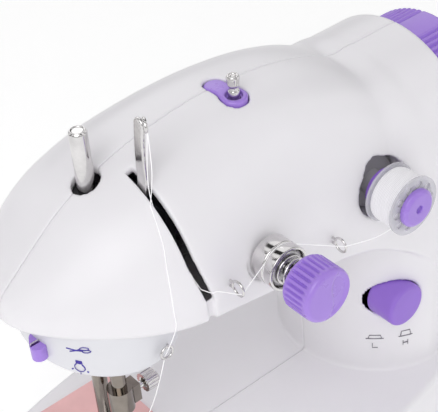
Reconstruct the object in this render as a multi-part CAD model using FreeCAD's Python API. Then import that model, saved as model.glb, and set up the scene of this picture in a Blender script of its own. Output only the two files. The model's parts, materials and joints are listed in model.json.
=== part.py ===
import FreeCAD, Part
import os
from math import acos, atan2, cos, hypot, pi, radians, sin, sqrt

# Small portable sewing machine, in millimetres.
# X runs along the machine towards the handwheel, Y to the back, Z up.
# All numbers are laid out with the body halves meeting at Y = 0 and the table at Z = 0; the
# finished pieces are moved so that the origin is the middle of the machine's footprint box.

V = FreeCAD.Vector
X_AXIS = V(1, 0, 0)
Y_AXIS = V(0, 1, 0)
Z_AXIS = V(0, 0, 1)
RUNNING = 0.05           # radial clearance of a shaft in its bush
GAP = 0.25               # clearance between pieces that must not touch

TO_FOOTPRINT_CENTRE = V(3.0, 4.2, 0)

# ---- driving dimensions: body ----
WALL = 2.2
FEET_HEIGHT = 4.0
BASE_TOP = 56.0
BASE_LEFT, BASE_RIGHT = -98.0, 92.0
BASE_FRONT, BASE_REAR = -51.0, 54.0
BASE_SIDE_RADIUS = 250.0
BASE_SIDE_X = -12.0
BASE_CORNER = 20.0
BASE_EDGE = 2.0
COLUMN_X, COLUMN_R = 58.5, 36.2
COLUMN_RIGHT = 70.0
COLUMN_CORNER_X = 52.0
COLUMN_TOP = 138.0
ARM_END_DEPTH, ARM_END_CORNER = 38.0, 18.0
HOUSING_LEFT, HOUSING_RIGHT = 39.0, 69.3
HOUSING_R = 36.2

# Arm and head: three outlines along X, all starting at the tip of the nose.
NOSE_X, NOSE_Z = -93.2, 147.6
RIDGE = [(NOSE_X, NOSE_Z), (-91.8, 153.3), (-86, 158.8), (-78.4, 165), (-67, 173.4), (-57.6, 178),
         (-40, 183.6), (-13, 186.9), (10, 185.3), (27, 181.1), (39, 175.5), (52, 167), (69.3, 152)]
RIM = [(NOSE_X, NOSE_Z), (-87, 145.5), (-77, 144), (-60, 142), (-44, 141), (-33, 138.5), (-20, 134.6),
       (-8, 130.8), (9, 127), (19, 124.2), (27, 121), (36, 115.5), (45, 109), (57, 97), (69.3, 84)]
FRONT_DEPTH = [(NOSE_X, 0), (-87.5, 13.7), (-76.5, 24.5), (-63, 33.2), (-48, 38.6), (-33, 38.2),
               (-8, 35), (9, 34), (28, 34), (45, 35), (57, 36.8), (69.3, 37.2)]
REAR_DEPTH = [(NOSE_X, 0), (-87.5, 17.5), (-76.5, 30), (-63, 36), (-48, 37.8), (-20, 37.9),
               (10, 37.9), (40, 37.8), (57, 37.5), (69.3, 37.2)]
FRONT_FULLNESS = [(NOSE_X, 2.1), (-48, 2.05), (-20, 2.2), (28, 2.9), (69.3, 2.9)]
REAR_FULLNESS = 2.6
BELLY = [(NOSE_X, 0), (-80, 6), (-60, 10), (-20, 7), (10, 4), (45, 2), (69.3, 1)]

# ---- driving dimensions: mechanism ----
SHAFT_Z, SHAFT_R = 140.0, 3.0
CRANK_THROW = 8.5
NEEDLE_X, NEEDLE_Y = -61.5, -6.0
PRESSER_X, PRESSER_Y = -62.0, 5.0
BAR_R = 2.5
HOOK_X, HOOK_Y = -61.5, 13.0
LOWER_SHAFT_Z, LOWER_SHAFT_R = 24.0, 2.5
MOTOR_Y, MOTOR_Z = -24.0, 30.0


def interpolate(points, x):
    """Smooth curve through (x, value) points, stretched so that it starts round like a nose."""
    def stretch(a):
        return sqrt(max(a - NOSE_X, 0.0))
    s = [stretch(p[0]) for p in points]
    v = [p[1] for p in points]
    u = min(max(stretch(x), s[0]), s[-1])
    i = 0
    while i < len(s) - 2 and u > s[i + 1]:
        i += 1

    def slope(k):
        low, high = max(k - 1, 0), min(k + 1, len(s) - 1)
        return (v[high] - v[low]) / (s[high] - s[low])
    h = s[i + 1] - s[i]
    t = (u - s[i]) / h
    return ((1 + 2 * t) * (1 - t) ** 2 * v[i] + t * (1 - t) ** 2 * h * slope(i)
            + t * t * (3 - 2 * t) * v[i + 1] + t * t * (t - 1) * h * slope(i + 1))


def ridge_z(x):
    return interpolate(RIDGE, x)


def rim_z(x):
    return interpolate(RIM, x)


def front_depth(x):
    return interpolate(FRONT_DEPTH, x)


def rear_depth(x):
    return interpolate(REAR_DEPTH, x)


def front_fullness(x):
    return interpolate(FRONT_FULLNESS, x)


def front_face_y(x, z, inset=0.0):
    """Y of the arm's front surface at a given X and Z."""
    share = (z - rim_z(x)) / (ridge_z(x) - rim_z(x))
    n = front_fullness(x)
    return -(front_depth(x) - inset) * (1 - min(max(share, 0), 1) ** n) ** (1 / n)


# ---- small shape helpers ----
def box(x0, x1, y0, y1, z0, z1):
    return Part.makeBox(x1 - x0, y1 - y0, z1 - z0, V(x0, y0, z0))


def rod(start, axis, radius, length):
    return Part.makeCylinder(radius, length, start, axis)


def tube(start, axis, outer, inner, length):
    return rod(start, axis, outer, length).cut(rod(start, axis, inner, length))


def prism(points, direction):
    """Solid swept from a flat polygon."""
    face = Part.Face(Part.makePolygon(points + [points[0]]))
    return face.extrude(direction)


def turned(profile, centre, axis):
    """Solid of revolution: profile is a list of (radius, distance along the axis)."""
    points = [V(r, 0, d) for r, d in profile]
    face = Part.Face(Part.makePolygon(points + [points[0]]))
    solid = face.revolve(V(0, 0, 0), Z_AXIS, 360)
    solid.Placement = FreeCAD.Placement(centre, FreeCAD.Rotation(Z_AXIS, axis))
    return solid


def hull_prism(circles, z0, z1):
    """Upright prism around two circles given as (x, y, r)."""
    (ax, ay, ar), (bx, by, br) = circles
    reach = hypot(bx - ax, by - ay)
    along = atan2(by - ay, bx - ax)
    spread = acos((ar - br) / reach)

    def at(x, y, r, angle):
        return V(x + r * cos(angle), y + r * sin(angle), z0)
    a1, a2 = at(ax, ay, ar, along + spread), at(ax, ay, ar, along - spread)
    b1, b2 = at(bx, by, br, along + spread), at(bx, by, br, along - spread)
    edges = [Part.Arc(a1, at(ax, ay, ar, along + pi), a2).toShape(), Part.makeLine(a2, b2),
             Part.Arc(b2, at(bx, by, br, along), b1).toShape(), Part.makeLine(b1, a1)]
    return Part.Face(Part.Wire(edges)).extrude(V(0, 0, z1 - z0))


# ---- body: outer and inner forms ----
def arm_section(x, inset):
    """Closed outline across the arm at X: front curve, rear curve, flat underside."""
    low, high = rim_z(x) + inset, ridge_z(x) - inset

    def quarter(depth, fullness, side):
        steps = 8
        points = []
        for i in range(steps + 1):
            t = (pi / 2) * i / steps
            y = side * depth * cos(t) ** (2 / fullness) if i < steps else 0.0
            points.append(V(x, y, low + (high - low) * sin(t) ** (2 / fullness)))
        return points
    front = quarter(front_depth(x) - inset, front_fullness(x), -1)
    rear = quarter(rear_depth(x) - inset, REAR_FULLNESS, 1)[::-1]
    curves = []
    for points in (front, rear):
        curve = Part.BSplineCurve()
        curve.interpolate(points)
        curves.append(curve.toShape())
    belly = V(x, 0, low - interpolate(BELLY, x))
    curves.append(Part.Arc(rear[-1], belly, front[0]).toShape())
    return Part.Wire(curves)


def arm_form(inset):
    first, last, count = 1.1, sqrt(HOUSING_RIGHT - inset - NOSE_X), 15
    if inset:
        first = 2.4
    stations = [NOSE_X + (first + (last - first) * i / (count - 1)) ** 2 for i in range(count)]
    wires = [arm_section(x, inset) for x in stations]
    if not inset:
        wires.insert(0, Part.Vertex(V(NOSE_X, 0, NOSE_Z)))
    loft = Part.makeLoft(wires, True, False)
    right, half = HOUSING_RIGHT - inset, ARM_END_DEPTH - inset
    envelope = box(0, right, -half, half, 60, 200)
    corners = [e for e in envelope.Edges if e.BoundBox.ZLength > 100 and e.BoundBox.XMin > right - 0.1]
    envelope = envelope.makeFillet(ARM_END_CORNER - inset, corners)
    return loft.common(envelope.fuse(box(-120, 50, -60, 60, 60, 200)))


def column_form(inset):
    r = COLUMN_R - inset
    right = COLUMN_RIGHT - inset
    y = sqrt(r ** 2 - (COLUMN_CORNER_X - COLUMN_X) ** 2)
    corner = right - COLUMN_CORNER_X
    middle = corner * (1 - cos(pi / 4))

    def side(s):
        return Part.Arc(V(COLUMN_CORNER_X, s * y, 0), V(right - middle, s * (y - middle), 0),
                        V(right, s * (y - corner), 0)).toShape()
    edges = [Part.Arc(V(COLUMN_CORNER_X, -y, 0), V(COLUMN_X - r, 0, 0),
                      V(COLUMN_CORNER_X, y, 0)).toShape(),
             side(1), Part.makeLine(V(right, y - corner, 0), V(right, corner - y, 0)), side(-1)]
    face = Part.Face(Part.Wire(Part.__sortEdges__(edges)))
    face.translate(V(0, 0, BASE_TOP - 6))
    return face.extrude(V(0, 0, COLUMN_TOP - BASE_TOP + 6))


def base_form(inset, z0, z1):
    r = BASE_SIDE_RADIUS - inset
    height = z1 - z0
    block = box(BASE_LEFT + inset, BASE_RIGHT - inset, -80, 80, z0, z1)
    front = rod(V(BASE_SIDE_X, BASE_FRONT + BASE_SIDE_RADIUS, z0), Z_AXIS, r, height)
    rear = rod(V(BASE_SIDE_X, BASE_REAR - BASE_SIDE_RADIUS, z0), Z_AXIS, r, height)
    form = block.common(front).common(rear)
    upright = [e for e in form.Edges if abs(e.BoundBox.ZLength - height) < 0.01]
    form = form.makeFillet(BASE_CORNER - inset, upright)
    if not inset:
        top = [e for e in form.Edges if e.BoundBox.ZMin > z1 - 0.01]
        form = form.makeFillet(BASE_EDGE, top)
    return form


def housing_form(inset):
    left = HOUSING_LEFT + inset
    return rod(V(left, 0, SHAFT_Z), X_AXIS, HOUSING_R - inset, HOUSING_RIGHT - inset - left)


# ---- body shells ----
SLOT_LEFT, SLOT_RIGHT = -50.0, -46.2
SLOT_TOP_Y, SLOT_FLOOR_Z = -8.0, 150.0
SLOT_GROOVE_Y = -37.4
SKIRT_X, SKIRT_A, SKIRT_B = -62.0, 22.8, 30.0
SKIRT_BOTTOM, SKIRT_TOP, SKIRT_WALL, SKIRT_FLOOR = 127.5, 146.0, 1.8, 1.6
SPINDLE_X, SPINDLE_Z = 29.5, 145.3
KEYHOLE_R = 11.2
KEYHOLE_LOBE_X, KEYHOLE_LOBE_Z, KEYHOLE_LOBE_R = 26.0, 152.8, 5.6
TENSION_X, TENSION_Z = -21.7, 150.0
DISC_R = 7.6
FACE_Y = front_face_y(TENSION_X, TENSION_Z)
SPEED_X, SPEED_Z, SPEED_R = 39.0, 90.0, 8.1
POWER_Y, POWER_Z, POWER_R = -9.0, 84.0, 5.0
BUTTON_GAP = 0.7
SPOOL_PIN_X, SPOOL_PIN_R, SOCKET_R = -57.6, 2.8, 4.5
WINDER_X, WINDER_Y, WINDER_R = -7.4, -7.7, 1.95
WINDER_SEAT = [(WINDER_X, WINDER_Y, 4.4), (WINDER_X, 1.6, 3.1)]
WINDER_SEAT_TOP = 187.0
BED_X0, BED_X1, BED_Y0, BED_Y1 = -79.0, -41.0, -23.0, 37.0
PLATE_MARGIN, PLATE_TOP, PLATE_THICK = 3.0, 56.4, 1.8
PLATE_REAR = 7.5
CASE_SCREWS = [(-74, 157), (2, 172), (44, 165), (64.2, 70), (84, 32), (-90, 32)]   # (x, z), axis along Y
BASE_SCREWS = [(-84, -28), (-84, 30), (80, -26), (80, 28)]                          # (x, y), axis along Z
BOSS_R, PILOT_R, SHANK_R, HEAD_R = 3.4, 1.25, 1.2, 2.8
CASE_HEAD_Y = 14.0


def skirt_form(grow, z0, z1):
    oval = Part.Ellipse(V(0, 0, 0), SKIRT_B + grow, SKIRT_A + grow)
    solid = Part.Face(Part.Wire(oval.toShape())).extrude(V(0, 0, z1 - z0))
    solid.Placement = FreeCAD.Placement(V(SKIRT_X, 0, z0), FreeCAD.Rotation(Z_AXIS, 90))
    return solid


def keyhole(grow, y0, y1):
    main = rod(V(SPINDLE_X, y0, SPINDLE_Z), Y_AXIS, KEYHOLE_R + grow, y1 - y0)
    lobe = rod(V(KEYHOLE_LOBE_X, y0, KEYHOLE_LOBE_Z), Y_AXIS, KEYHOLE_LOBE_R + grow, y1 - y0)
    return main.fuse(lobe)


def body_forms():
    outer = arm_form(0).fuse(housing_form(0)).fuse(column_form(0))
    outer = outer.fuse(base_form(0, FEET_HEIGHT, BASE_TOP))
    inner = arm_form(WALL).fuse(housing_form(WALL)).fuse(column_form(WALL))
    inner = inner.fuse(base_form(WALL, FEET_HEIGHT - 1, BASE_TOP - WALL))
    return outer, inner


def bed_cuts():
    """Opening over the hook and the shallow seat of the needle plate."""
    opening = box(BED_X0, BED_X1, BED_Y0, BED_Y1, BASE_TOP - 5, BASE_TOP + 5)
    seat = box(BED_X0 - PLATE_MARGIN, BED_X1 + PLATE_MARGIN, BED_Y0 - PLATE_MARGIN, PLATE_REAR + GAP,
               PLATE_TOP - PLATE_THICK, BASE_TOP + 5)
    return [opening, seat]


def shared_cuts():
    socket = rod(V(SPOOL_PIN_X, 0, 165), Z_AXIS, SOCKET_R, 20)
    shaft = rod(V(60, 0, SHAFT_Z), X_AXIS, 6, 20)
    seat = hull_prism([(x, y, r + 0.2) for x, y, r in WINDER_SEAT], 178, 190)
    return [skirt_form(0.1, 120, SKIRT_TOP + 0.5), socket, shaft, seat] + bed_cuts()


def base_bosses(side):
    posts = [rod(V(x, y, FEET_HEIGHT + 2.5), Z_AXIS, 4.5, 48.5) for x, y in BASE_SCREWS if y * side > 0]
    pilots = [rod(V(x, y, FEET_HEIGHT), Z_AXIS, PILOT_R, 16) for x, y in BASE_SCREWS if y * side > 0]
    return posts, pilots


def make_front_shell(outer, inner):
    half = box(-120, 120, -120, 0, 0, 220)
    shell = outer.cut(inner).common(half)
    bosses = [rod(V(x, -70, z), Y_AXIS, BOSS_R, 70) for x, z in CASE_SCREWS]
    posts, pilots = base_bosses(-1)
    collar = keyhole(1.6, -34, -22)
    shelves = [box(34, 44, -34, -8, 82.5, 85), box(52, 69, -14, -4, 76.5, 79)]
    solid_parts = [p.common(outer) for p in bosses + posts + shelves + [collar]]
    shell = shell.fuse(solid_parts)
    cuts = [rod(V(x, -10, z), Y_AXIS, PILOT_R, 11) for x, z in CASE_SCREWS] + pilots + shared_cuts()
    cuts.append(box(SLOT_LEFT, SLOT_RIGHT, -60, SLOT_TOP_Y, SLOT_FLOOR_Z, 200))
    cuts.append(box(SLOT_LEFT, SLOT_RIGHT, -60, SLOT_GROOVE_Y, 120, SLOT_FLOOR_Z))
    cuts.append(rod(V(TENSION_X, -60, TENSION_Z), Y_AXIS, 2.1, 40))
    cuts.append(rod(V(TENSION_X, -60, TENSION_Z), Y_AXIS, DISC_R + 0.6, 60 + FACE_Y - 0.6))
    cuts.append(keyhole(0, -60, -21))
    cuts.append(rod(V(SPEED_X, -45, SPEED_Z), Y_AXIS, SPEED_R + BUTTON_GAP, 30))
    cuts.append(rod(V(62, POWER_Y, POWER_Z), X_AXIS, POWER_R + BUTTON_GAP, 20))
    return shell.cut(cuts)


def make_rear_shell(outer, inner):
    half = box(-120, 120, 0, 120, 0, 220)
    shell = outer.cut(inner).common(half)
    bosses = [rod(V(x, 0, z), Y_AXIS, BOSS_R, 70) for x, z in CASE_SCREWS]
    posts, pilots = base_bosses(1)
    shell = shell.fuse([p.common(outer) for p in bosses + posts])
    cuts = [rod(V(x, -1, z), Y_AXIS, PILOT_R + 0.2, 20) for x, z in CASE_SCREWS]
    cuts += [rod(V(x, CASE_HEAD_Y, z), Y_AXIS, HEAD_R + 0.2, 70) for x, z in CASE_SCREWS]
    return shell.cut(cuts + pilots + shared_cuts())


def make_case_screws():
    screws = []
    for x, z in CASE_SCREWS:
        shank = rod(V(x, -8, z), Y_AXIS, SHANK_R, 8 + CASE_HEAD_Y)
        screws.append(shank.fuse(rod(V(x, CASE_HEAD_Y, z), Y_AXIS, HEAD_R, 2)))
    for x, y in BASE_SCREWS:
        shank = rod(V(x, y, FEET_HEIGHT + 1.5), Z_AXIS, SHANK_R, 14)
        screws.append(shank.fuse(rod(V(x, y, FEET_HEIGHT), Z_AXIS, HEAD_R, 1.5)))
    slots = []
    for x, z in CASE_SCREWS:
        slots += [box(x - 2, x + 2, CASE_HEAD_Y + 1, 20, z - 0.35, z + 0.35),
                  box(x - 0.35, x + 0.35, CASE_HEAD_Y + 1, 20, z - 2, z + 2)]
    return Part.makeCompound([s.cut(slots) for s in screws])


def make_head_skirt():
    outer = skirt_form(0, SKIRT_BOTTOM, SKIRT_TOP)
    rim = [e for e in outer.Edges if e.BoundBox.ZMax < SKIRT_BOTTOM + 0.01]
    outer = outer.makeFillet(1.2, rim)
    skirt = outer.cut(skirt_form(-SKIRT_WALL, SKIRT_BOTTOM + SKIRT_FLOOR, SKIRT_TOP + 1))
    cuts = [box(-72, LINK_X1 + 0.7, -12, 13, 120, 131),
            rod(V(LAMP_X, LAMP_Y, 120), Z_AXIS, LAMP_R + 0.1, 12),
            rod(V(LIFTER_X, 20, LIFTER_Z), Y_AXIS, LIFTER_R + RUNNING, 15),
            box(-50, -38, -4, 4, 135.5, SKIRT_TOP + 1),
            box(-50, -38, FRAME_Y0 - 0.5, FRAME_Y1 + 0.5, 137.5, SKIRT_TOP + 1)]
    return skirt.cut(cuts)


# ---- base ----
DOOR = (-49.7, 4.7, -41.7, -6.3)
DOOR_PLAY = 0.35
PLATE_Z0, PLATE_Z1 = FEET_HEIGHT, FEET_HEIGHT + 2.5
FEET = [(-72, -30), (-72, 32), (66, -28), (66, 30)]
BUSH_R = 5.0
LOWER_BUSHES = (-43, 37)          # X where each lower bush starts
BUSH_LENGTH = 5.0
MOTOR_R, MOTOR_X0, MOTOR_X1 = 12.0, 10.0, 44.0
BELT_X0, BELT_X1 = 55.0, 60.0
TIMING_X0, TIMING_X1 = 46.0, 51.0
MAIN_PULLEY_R, MOTOR_PULLEY_R, TIMING_R = 22.0, 4.5, 7.0


def make_bottom_plate():
    plate = base_form(WALL + GAP, PLATE_Z0, PLATE_Z1)
    x0, x1, y0, y1 = DOOR
    p = DOOR_PLAY
    plate = plate.cut(box(x0 - p, x1 + p, y0 - p, y1 + p, 0, 10))
    for x in LOWER_BUSHES:
        post = box(x, x + BUSH_LENGTH, HOOK_Y - 8, HOOK_Y + 8, PLATE_Z1, LOWER_SHAFT_Z + 7)
        plate = plate.fuse(post.cut(rod(V(x, HOOK_Y, LOWER_SHAFT_Z), X_AXIS, BUSH_R, BUSH_LENGTH)))
    for x in (MOTOR_X0 + 4, MOTOR_X1 - 8):
        cradle = box(x, x + 4, MOTOR_Y - 13, MOTOR_Y + 13, PLATE_Z1, MOTOR_Z - 4)
        plate = plate.fuse(cradle.cut(rod(V(x, MOTOR_Y, MOTOR_Z), X_AXIS, MOTOR_R, 4)))
    plate = plate.fuse(box(-66, -57, -32, -14, PLATE_Z1, 46 - RUNNING))
    holes = []
    for x, y in BASE_SCREWS:
        holes.append(rod(V(x, y, 0), Z_AXIS, PILOT_R + 0.2, 20))
        holes.append(rod(V(x, y, 0), Z_AXIS, HEAD_R + 0.2, PLATE_Z0 + 1.5))
    return plate.cut(holes)


def make_battery_door():
    x0, x1, y0, y1 = DOOR
    half = (PLATE_Z1 - PLATE_Z0) / 2
    hinge = rod(V(x1 - half, y0, PLATE_Z0 + half), Y_AXIS, half, y1 - y0)
    leaf = box(x0, x1 - half, y0, y1, PLATE_Z0, PLATE_Z1)
    grips = [box(x0 + 5 + 2.4 * i, x0 + 6.2 + 2.4 * i, y0 + 10, y1 - 10, PLATE_Z0 - 1, PLATE_Z0 + 0.6)
             for i in range(5)]
    return leaf.fuse(hinge).cut(grips)


def make_rubber_feet():
    return Part.makeCompound([turned([(0, 0), (6, 0), (7, 1), (7, FEET_HEIGHT), (0, FEET_HEIGHT)],
                                     V(x, y, 0), Z_AXIS) for x, y in FEET])


def make_motor_case():
    case = turned([(0, 0), (MOTOR_R - 1, 0), (MOTOR_R, 1), (MOTOR_R, 33), (MOTOR_R - 1, 34),
                   (3.5, 34), (3.5, 36), (0, 36)], V(MOTOR_X0, MOTOR_Y, MOTOR_Z), X_AXIS)
    return case.cut(rod(V(MOTOR_X1 - 12, MOTOR_Y, MOTOR_Z), X_AXIS, 1 + RUNNING, 20))


def make_motor_rotor():
    shaft = rod(V(MOTOR_X1 - 10, MOTOR_Y, MOTOR_Z), X_AXIS, 1, 27)
    return shaft.fuse(rod(V(BELT_X0 - 1, MOTOR_Y, MOTOR_Z), X_AXIS, MOTOR_PULLEY_R, 7))


def belt(circles, thickness, x0, x1):
    """Flat belt around two pulleys given as (y, z, r), running in the plane across X."""
    outer = hull_prism([(y, z, r + RUNNING + thickness) for y, z, r in circles], 0, x1 - x0)
    inner = hull_prism([(y, z, r + RUNNING) for y, z, r in circles], 0, x1 - x0)
    loop = outer.cut(inner)
    loop.Placement = FreeCAD.Placement(V(x0, 0, 0), FreeCAD.Rotation(Y_AXIS, Z_AXIS, X_AXIS))
    return loop


def make_drive_belt():
    return belt([(0, SHAFT_Z, MAIN_PULLEY_R), (MOTOR_Y, MOTOR_Z, MOTOR_PULLEY_R)], 1.5, BELT_X0, BELT_X1)


def make_timing_belt():
    return belt([(0, SHAFT_Z, TIMING_R + 0.01), (HOOK_Y, LOWER_SHAFT_Z, TIMING_R)], 1.2, TIMING_X0, TIMING_X1)


# ---- frame and main shaft ----
CRANK_X0, CRANK_X1 = -46.5, -43.0
LINK_X0, LINK_X1 = -52.5, -50.5
BLOCK_Z = 166.0
LEVER_X0, LEVER_X1 = -48.6, -47.4
LEVER_Z = 156.0
FRAME_Y0, FRAME_Y1 = 14.0, 16.0
LAMP_X, LAMP_Y, LAMP_R = -76.5, -2.0, 3.0
LIFTER_X, LIFTER_Z, LIFTER_R = -64.0, 133.0, 2.0
LIFTER_NOSE, LIFTER_NOSE_R = 7.1, 0.8
MAIN_BUSHES = (-38.5, 61.5)
SPINDLE_BUSH_Y = -22.0


def make_head_frame():
    y0, y1 = FRAME_Y0, FRAME_Y1
    lug = (-69, -55, -11, y0)
    pieces = [box(-69, 66, y0, y1, 138, 158), box(48, 66, y0, y1, 158, 165),
              box(-69, -55, y0, y1, 131.5, 138), box(*lug, 131.5, 135.5), box(*lug, 142, 146),
              box(-69, -57.5, y0, y1, 158, 167), box(-69, -57.5, 0.5, y0, 165, 167),
              box(-38, -35, -9, 9, 134, 160), box(-38, -35, 9, y0, 138, 160),
              box(62, 65, -9, y0, 131, 150), box(62, 66, y0, y1, 131, 138),
              box(24, 35, y0, y1, 129.5, 138), box(24, 35, SPINDLE_BUSH_Y, y0, 129.5, 133),
              box(23, 36, SPINDLE_BUSH_Y, SPINDLE_BUSH_Y + 5, 129.5, 152.5)]
    frame = pieces[0].fuse(pieces[1:])
    cuts = [rod(V(-45, 0, SHAFT_Z), X_AXIS, BUSH_R, 15), rod(V(60, 0, SHAFT_Z), X_AXIS, BUSH_R, 10),
            rod(V(-45, 0, LEVER_Z), X_AXIS, 1.5 + RUNNING, 15),
            rod(V(NEEDLE_X, NEEDLE_Y, 120), Z_AXIS, BAR_R + RUNNING, 40),
            rod(V(PRESSER_X, PRESSER_Y, 120), Z_AXIS, BAR_R + RUNNING, 60),
            rod(V(SPINDLE_X, -40, SPINDLE_Z), Y_AXIS, BUSH_R, 30),
            box(PRESSER_X - 2, PRESSER_X + 2, PRESSER_Y, y1 + 1, 135.5, 147),
            rod(V(SPOOL_PIN_X, 0, 149), Z_AXIS, SPOOL_PIN_R + 0.4, 20),
            box(53, 62, y0 - 1, y1 + 1, 137, 160)]
    return frame.cut(cuts).removeSplitter()


def bush(start, axis, bore, length):
    return tube(start, axis, BUSH_R, bore + RUNNING, length)


def make_shaft_bushes():
    parts = [bush(V(x, 0, SHAFT_Z), X_AXIS, SHAFT_R, BUSH_LENGTH) for x in MAIN_BUSHES]
    parts += [bush(V(x, HOOK_Y, LOWER_SHAFT_Z), X_AXIS, LOWER_SHAFT_R, BUSH_LENGTH) for x in LOWER_BUSHES]
    parts.append(bush(V(SPINDLE_X, SPINDLE_BUSH_Y, SPINDLE_Z), Y_AXIS, SPINDLE_R, BUSH_LENGTH))
    parts.append(tube(V(HOOK_X, HOOK_Y, PLATE_Z1), Z_AXIS, BUSH_R, 3 + RUNNING, 9))
    return Part.makeCompound(parts)


def make_main_shaft():
    return rod(V(CRANK_X0, 0, SHAFT_Z), X_AXIS, SHAFT_R, HANDWHEEL_X1 - 2 - CRANK_X0)


def make_crank_disc():
    disc = rod(V(CRANK_X0, 0, SHAFT_Z), X_AXIS, 10.2, CRANK_X1 - CRANK_X0)
    pin = rod(V(LINK_X0, 0, SHAFT_Z + CRANK_THROW), X_AXIS, 1.5, CRANK_X0 - LINK_X0)
    return disc.cut(rod(V(-60, 0, SHAFT_Z), X_AXIS, SHAFT_R, 30)).fuse(pin)


def make_connecting_link():
    low = (0, SHAFT_Z + CRANK_THROW, 3.0)
    high = (NEEDLE_Y, BLOCK_Z, 3.0)
    link = hull_prism([(low[0], low[1], 3.001), high], 0, LINK_X1 - LINK_X0)
    link.Placement = FreeCAD.Placement(V(LINK_X0, 0, 0), FreeCAD.Rotation(Y_AXIS, Z_AXIS, X_AXIS))
    holes = [rod(V(LINK_X0 - 1, y, z), X_AXIS, 1.5 + RUNNING, 5) for y, z, r in (low, high)]
    return link.cut(holes)


def make_main_pulley():
    wheel = tube(V(BELT_X0 - 1, 0, SHAFT_Z), X_AXIS, MAIN_PULLEY_R, SHAFT_R, 7)
    holes = [rod(V(50, 13 * cos(a), SHAFT_Z + 13 * sin(a)), X_AXIS, 4.5, 20)
             for a in [radians(60 * i) for i in range(6)]]
    return wheel.cut(holes)


def make_timing_pulley():
    return tube(V(TIMING_X0 - 0.5, 0, SHAFT_Z), X_AXIS, TIMING_R, SHAFT_R, 6)


def make_lower_timing_pulley():
    return tube(V(TIMING_X0 - 0.5, HOOK_Y, LOWER_SHAFT_Z), X_AXIS, TIMING_R, LOWER_SHAFT_R, 6)


# ---- handwheel ----
HANDWHEEL_X0, HANDWHEEL_X1, HANDWHEEL_R = 70.8, 88.0, 31.5
GRIP_GROUPS, GROOVES_PER_GROUP = 6, 10
GROOVE_PITCH, GRIP_START = 4.3, 3.2           # degrees
GROOVE_R = 0.8


def make_handwheel():
    w = HANDWHEEL_X1 - HANDWHEEL_X0
    r = HANDWHEEL_R
    wheel = turned([(SHAFT_R, 0), (r - 3, 0), (r - 0.8, 0.8), (r, 3), (r, w - 3), (r - 1, w - 0.8),
                    (r - 3, w), (r - 6, w), (r - 8, w - 3), (12, w - 4.5), (9, w - 1), (SHAFT_R, w - 1)],
                   V(HANDWHEEL_X0, 0, SHAFT_Z), X_AXIS)
    grooves = []
    for group in range(GRIP_GROUPS):
        for i in range(GROOVES_PER_GROUP):
            from_middle = GROOVE_PITCH * (i - (GROOVES_PER_GROUP - 1) / 2)
            a = radians(GRIP_START + 360 / GRIP_GROUPS * group + from_middle)
            centre = V(HANDWHEEL_X0 - 1, (r + 0.2) * cos(a), SHAFT_Z + (r + 0.2) * sin(a))
            grooves.append(rod(centre, X_AXIS, GROOVE_R, w + 2))
    return wheel.cut(grooves)


# ---- needle head ----
CLAMP_Z0, CLAMP_Z1 = 91.5, 100.5
NEEDLE_TIP_Z = 67.0
PRESSER_LIFT_LUG = 136.0
PRESSER_COLLAR_Z = 150.0


def make_needle_bar():
    bar = rod(V(NEEDLE_X, NEEDLE_Y, 92), Z_AXIS, BAR_R, BLOCK_Z + 4 - 92)
    block = rod(V(NEEDLE_X, NEEDLE_Y, BLOCK_Z - 3), Z_AXIS, 4.1, 6)
    stud = rod(V(NEEDLE_X, NEEDLE_Y, BLOCK_Z), X_AXIS, 1.7, LINK_X0 - 0.2 - NEEDLE_X)
    return bar.fuse([block, stud]).cut(rod(V(NEEDLE_X, NEEDLE_Y, 91), Z_AXIS, 1.0, 9))


def make_needle_clamp():
    ring = tube(V(NEEDLE_X, NEEDLE_Y, CLAMP_Z0), Z_AXIS, 4.2, BAR_R, CLAMP_Z1 - CLAMP_Z0)
    lug = box(NEEDLE_X + 3.4, NEEDLE_X + 6.2, NEEDLE_Y - 2.6, NEEDLE_Y + 2.6, CLAMP_Z0 + 1, CLAMP_Z1 - 1)
    middle = (CLAMP_Z0 + CLAMP_Z1) / 2
    return ring.fuse(lug).cut(rod(V(NEEDLE_X + 2, NEEDLE_Y, middle), X_AXIS, 1.2 + RUNNING, 8))


def make_clamp_screw():
    middle = (CLAMP_Z0 + CLAMP_Z1) / 2
    head_x = NEEDLE_X + 8.5
    screw = turned([(0, 0), (1.2, 0), (1.2, 5.9), (2.0, 6.4), (3.4, 6.4), (3.4, 10.6), (2.9, 11.2),
                    (0, 11.2)],
                   V(NEEDLE_X + BAR_R + 0.05, NEEDLE_Y, middle), X_AXIS)
    knurls = [rod(V(head_x, NEEDLE_Y + 3.6 * cos(a), middle + 3.6 * sin(a)), X_AXIS, 0.45, 8)
              for a in [radians(20 * i) for i in range(18)]]
    return screw.cut(knurls)


def make_needle():
    return turned([(0, 0), (0.35, 3), (0.5, 4), (0.5, 16), (1.0, 18), (1.0, 31), (0.7, 32), (0, 32)],
                  V(NEEDLE_X, NEEDLE_Y, NEEDLE_TIP_Z), Z_AXIS)


FOOT_PIN_Y, FOOT_PIN_Z = -3.0, 62.0


def make_presser_bar():
    bar = rod(V(PRESSER_X, PRESSER_Y, 72), Z_AXIS, BAR_R, 163 - 72)
    collar = rod(V(PRESSER_X, PRESSER_Y, PRESSER_COLLAR_Z), Z_AXIS, 3.6, 2)
    lug = box(PRESSER_X - 1.4, PRESSER_X + 1.4, PRESSER_Y, 20, PRESSER_LIFT_LUG, PRESSER_LIFT_LUG + 2.5)
    holder = box(-66.8, -57.5, -3, 8, 66, 74)
    ankle = box(-63.4, -59.6, -5, -1, 60, 67)
    pinhole = rod(V(-70, FOOT_PIN_Y, FOOT_PIN_Z), X_AXIS, 1 + RUNNING, 20)
    return bar.fuse([collar, lug, holder, ankle]).cut(pinhole)


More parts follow.
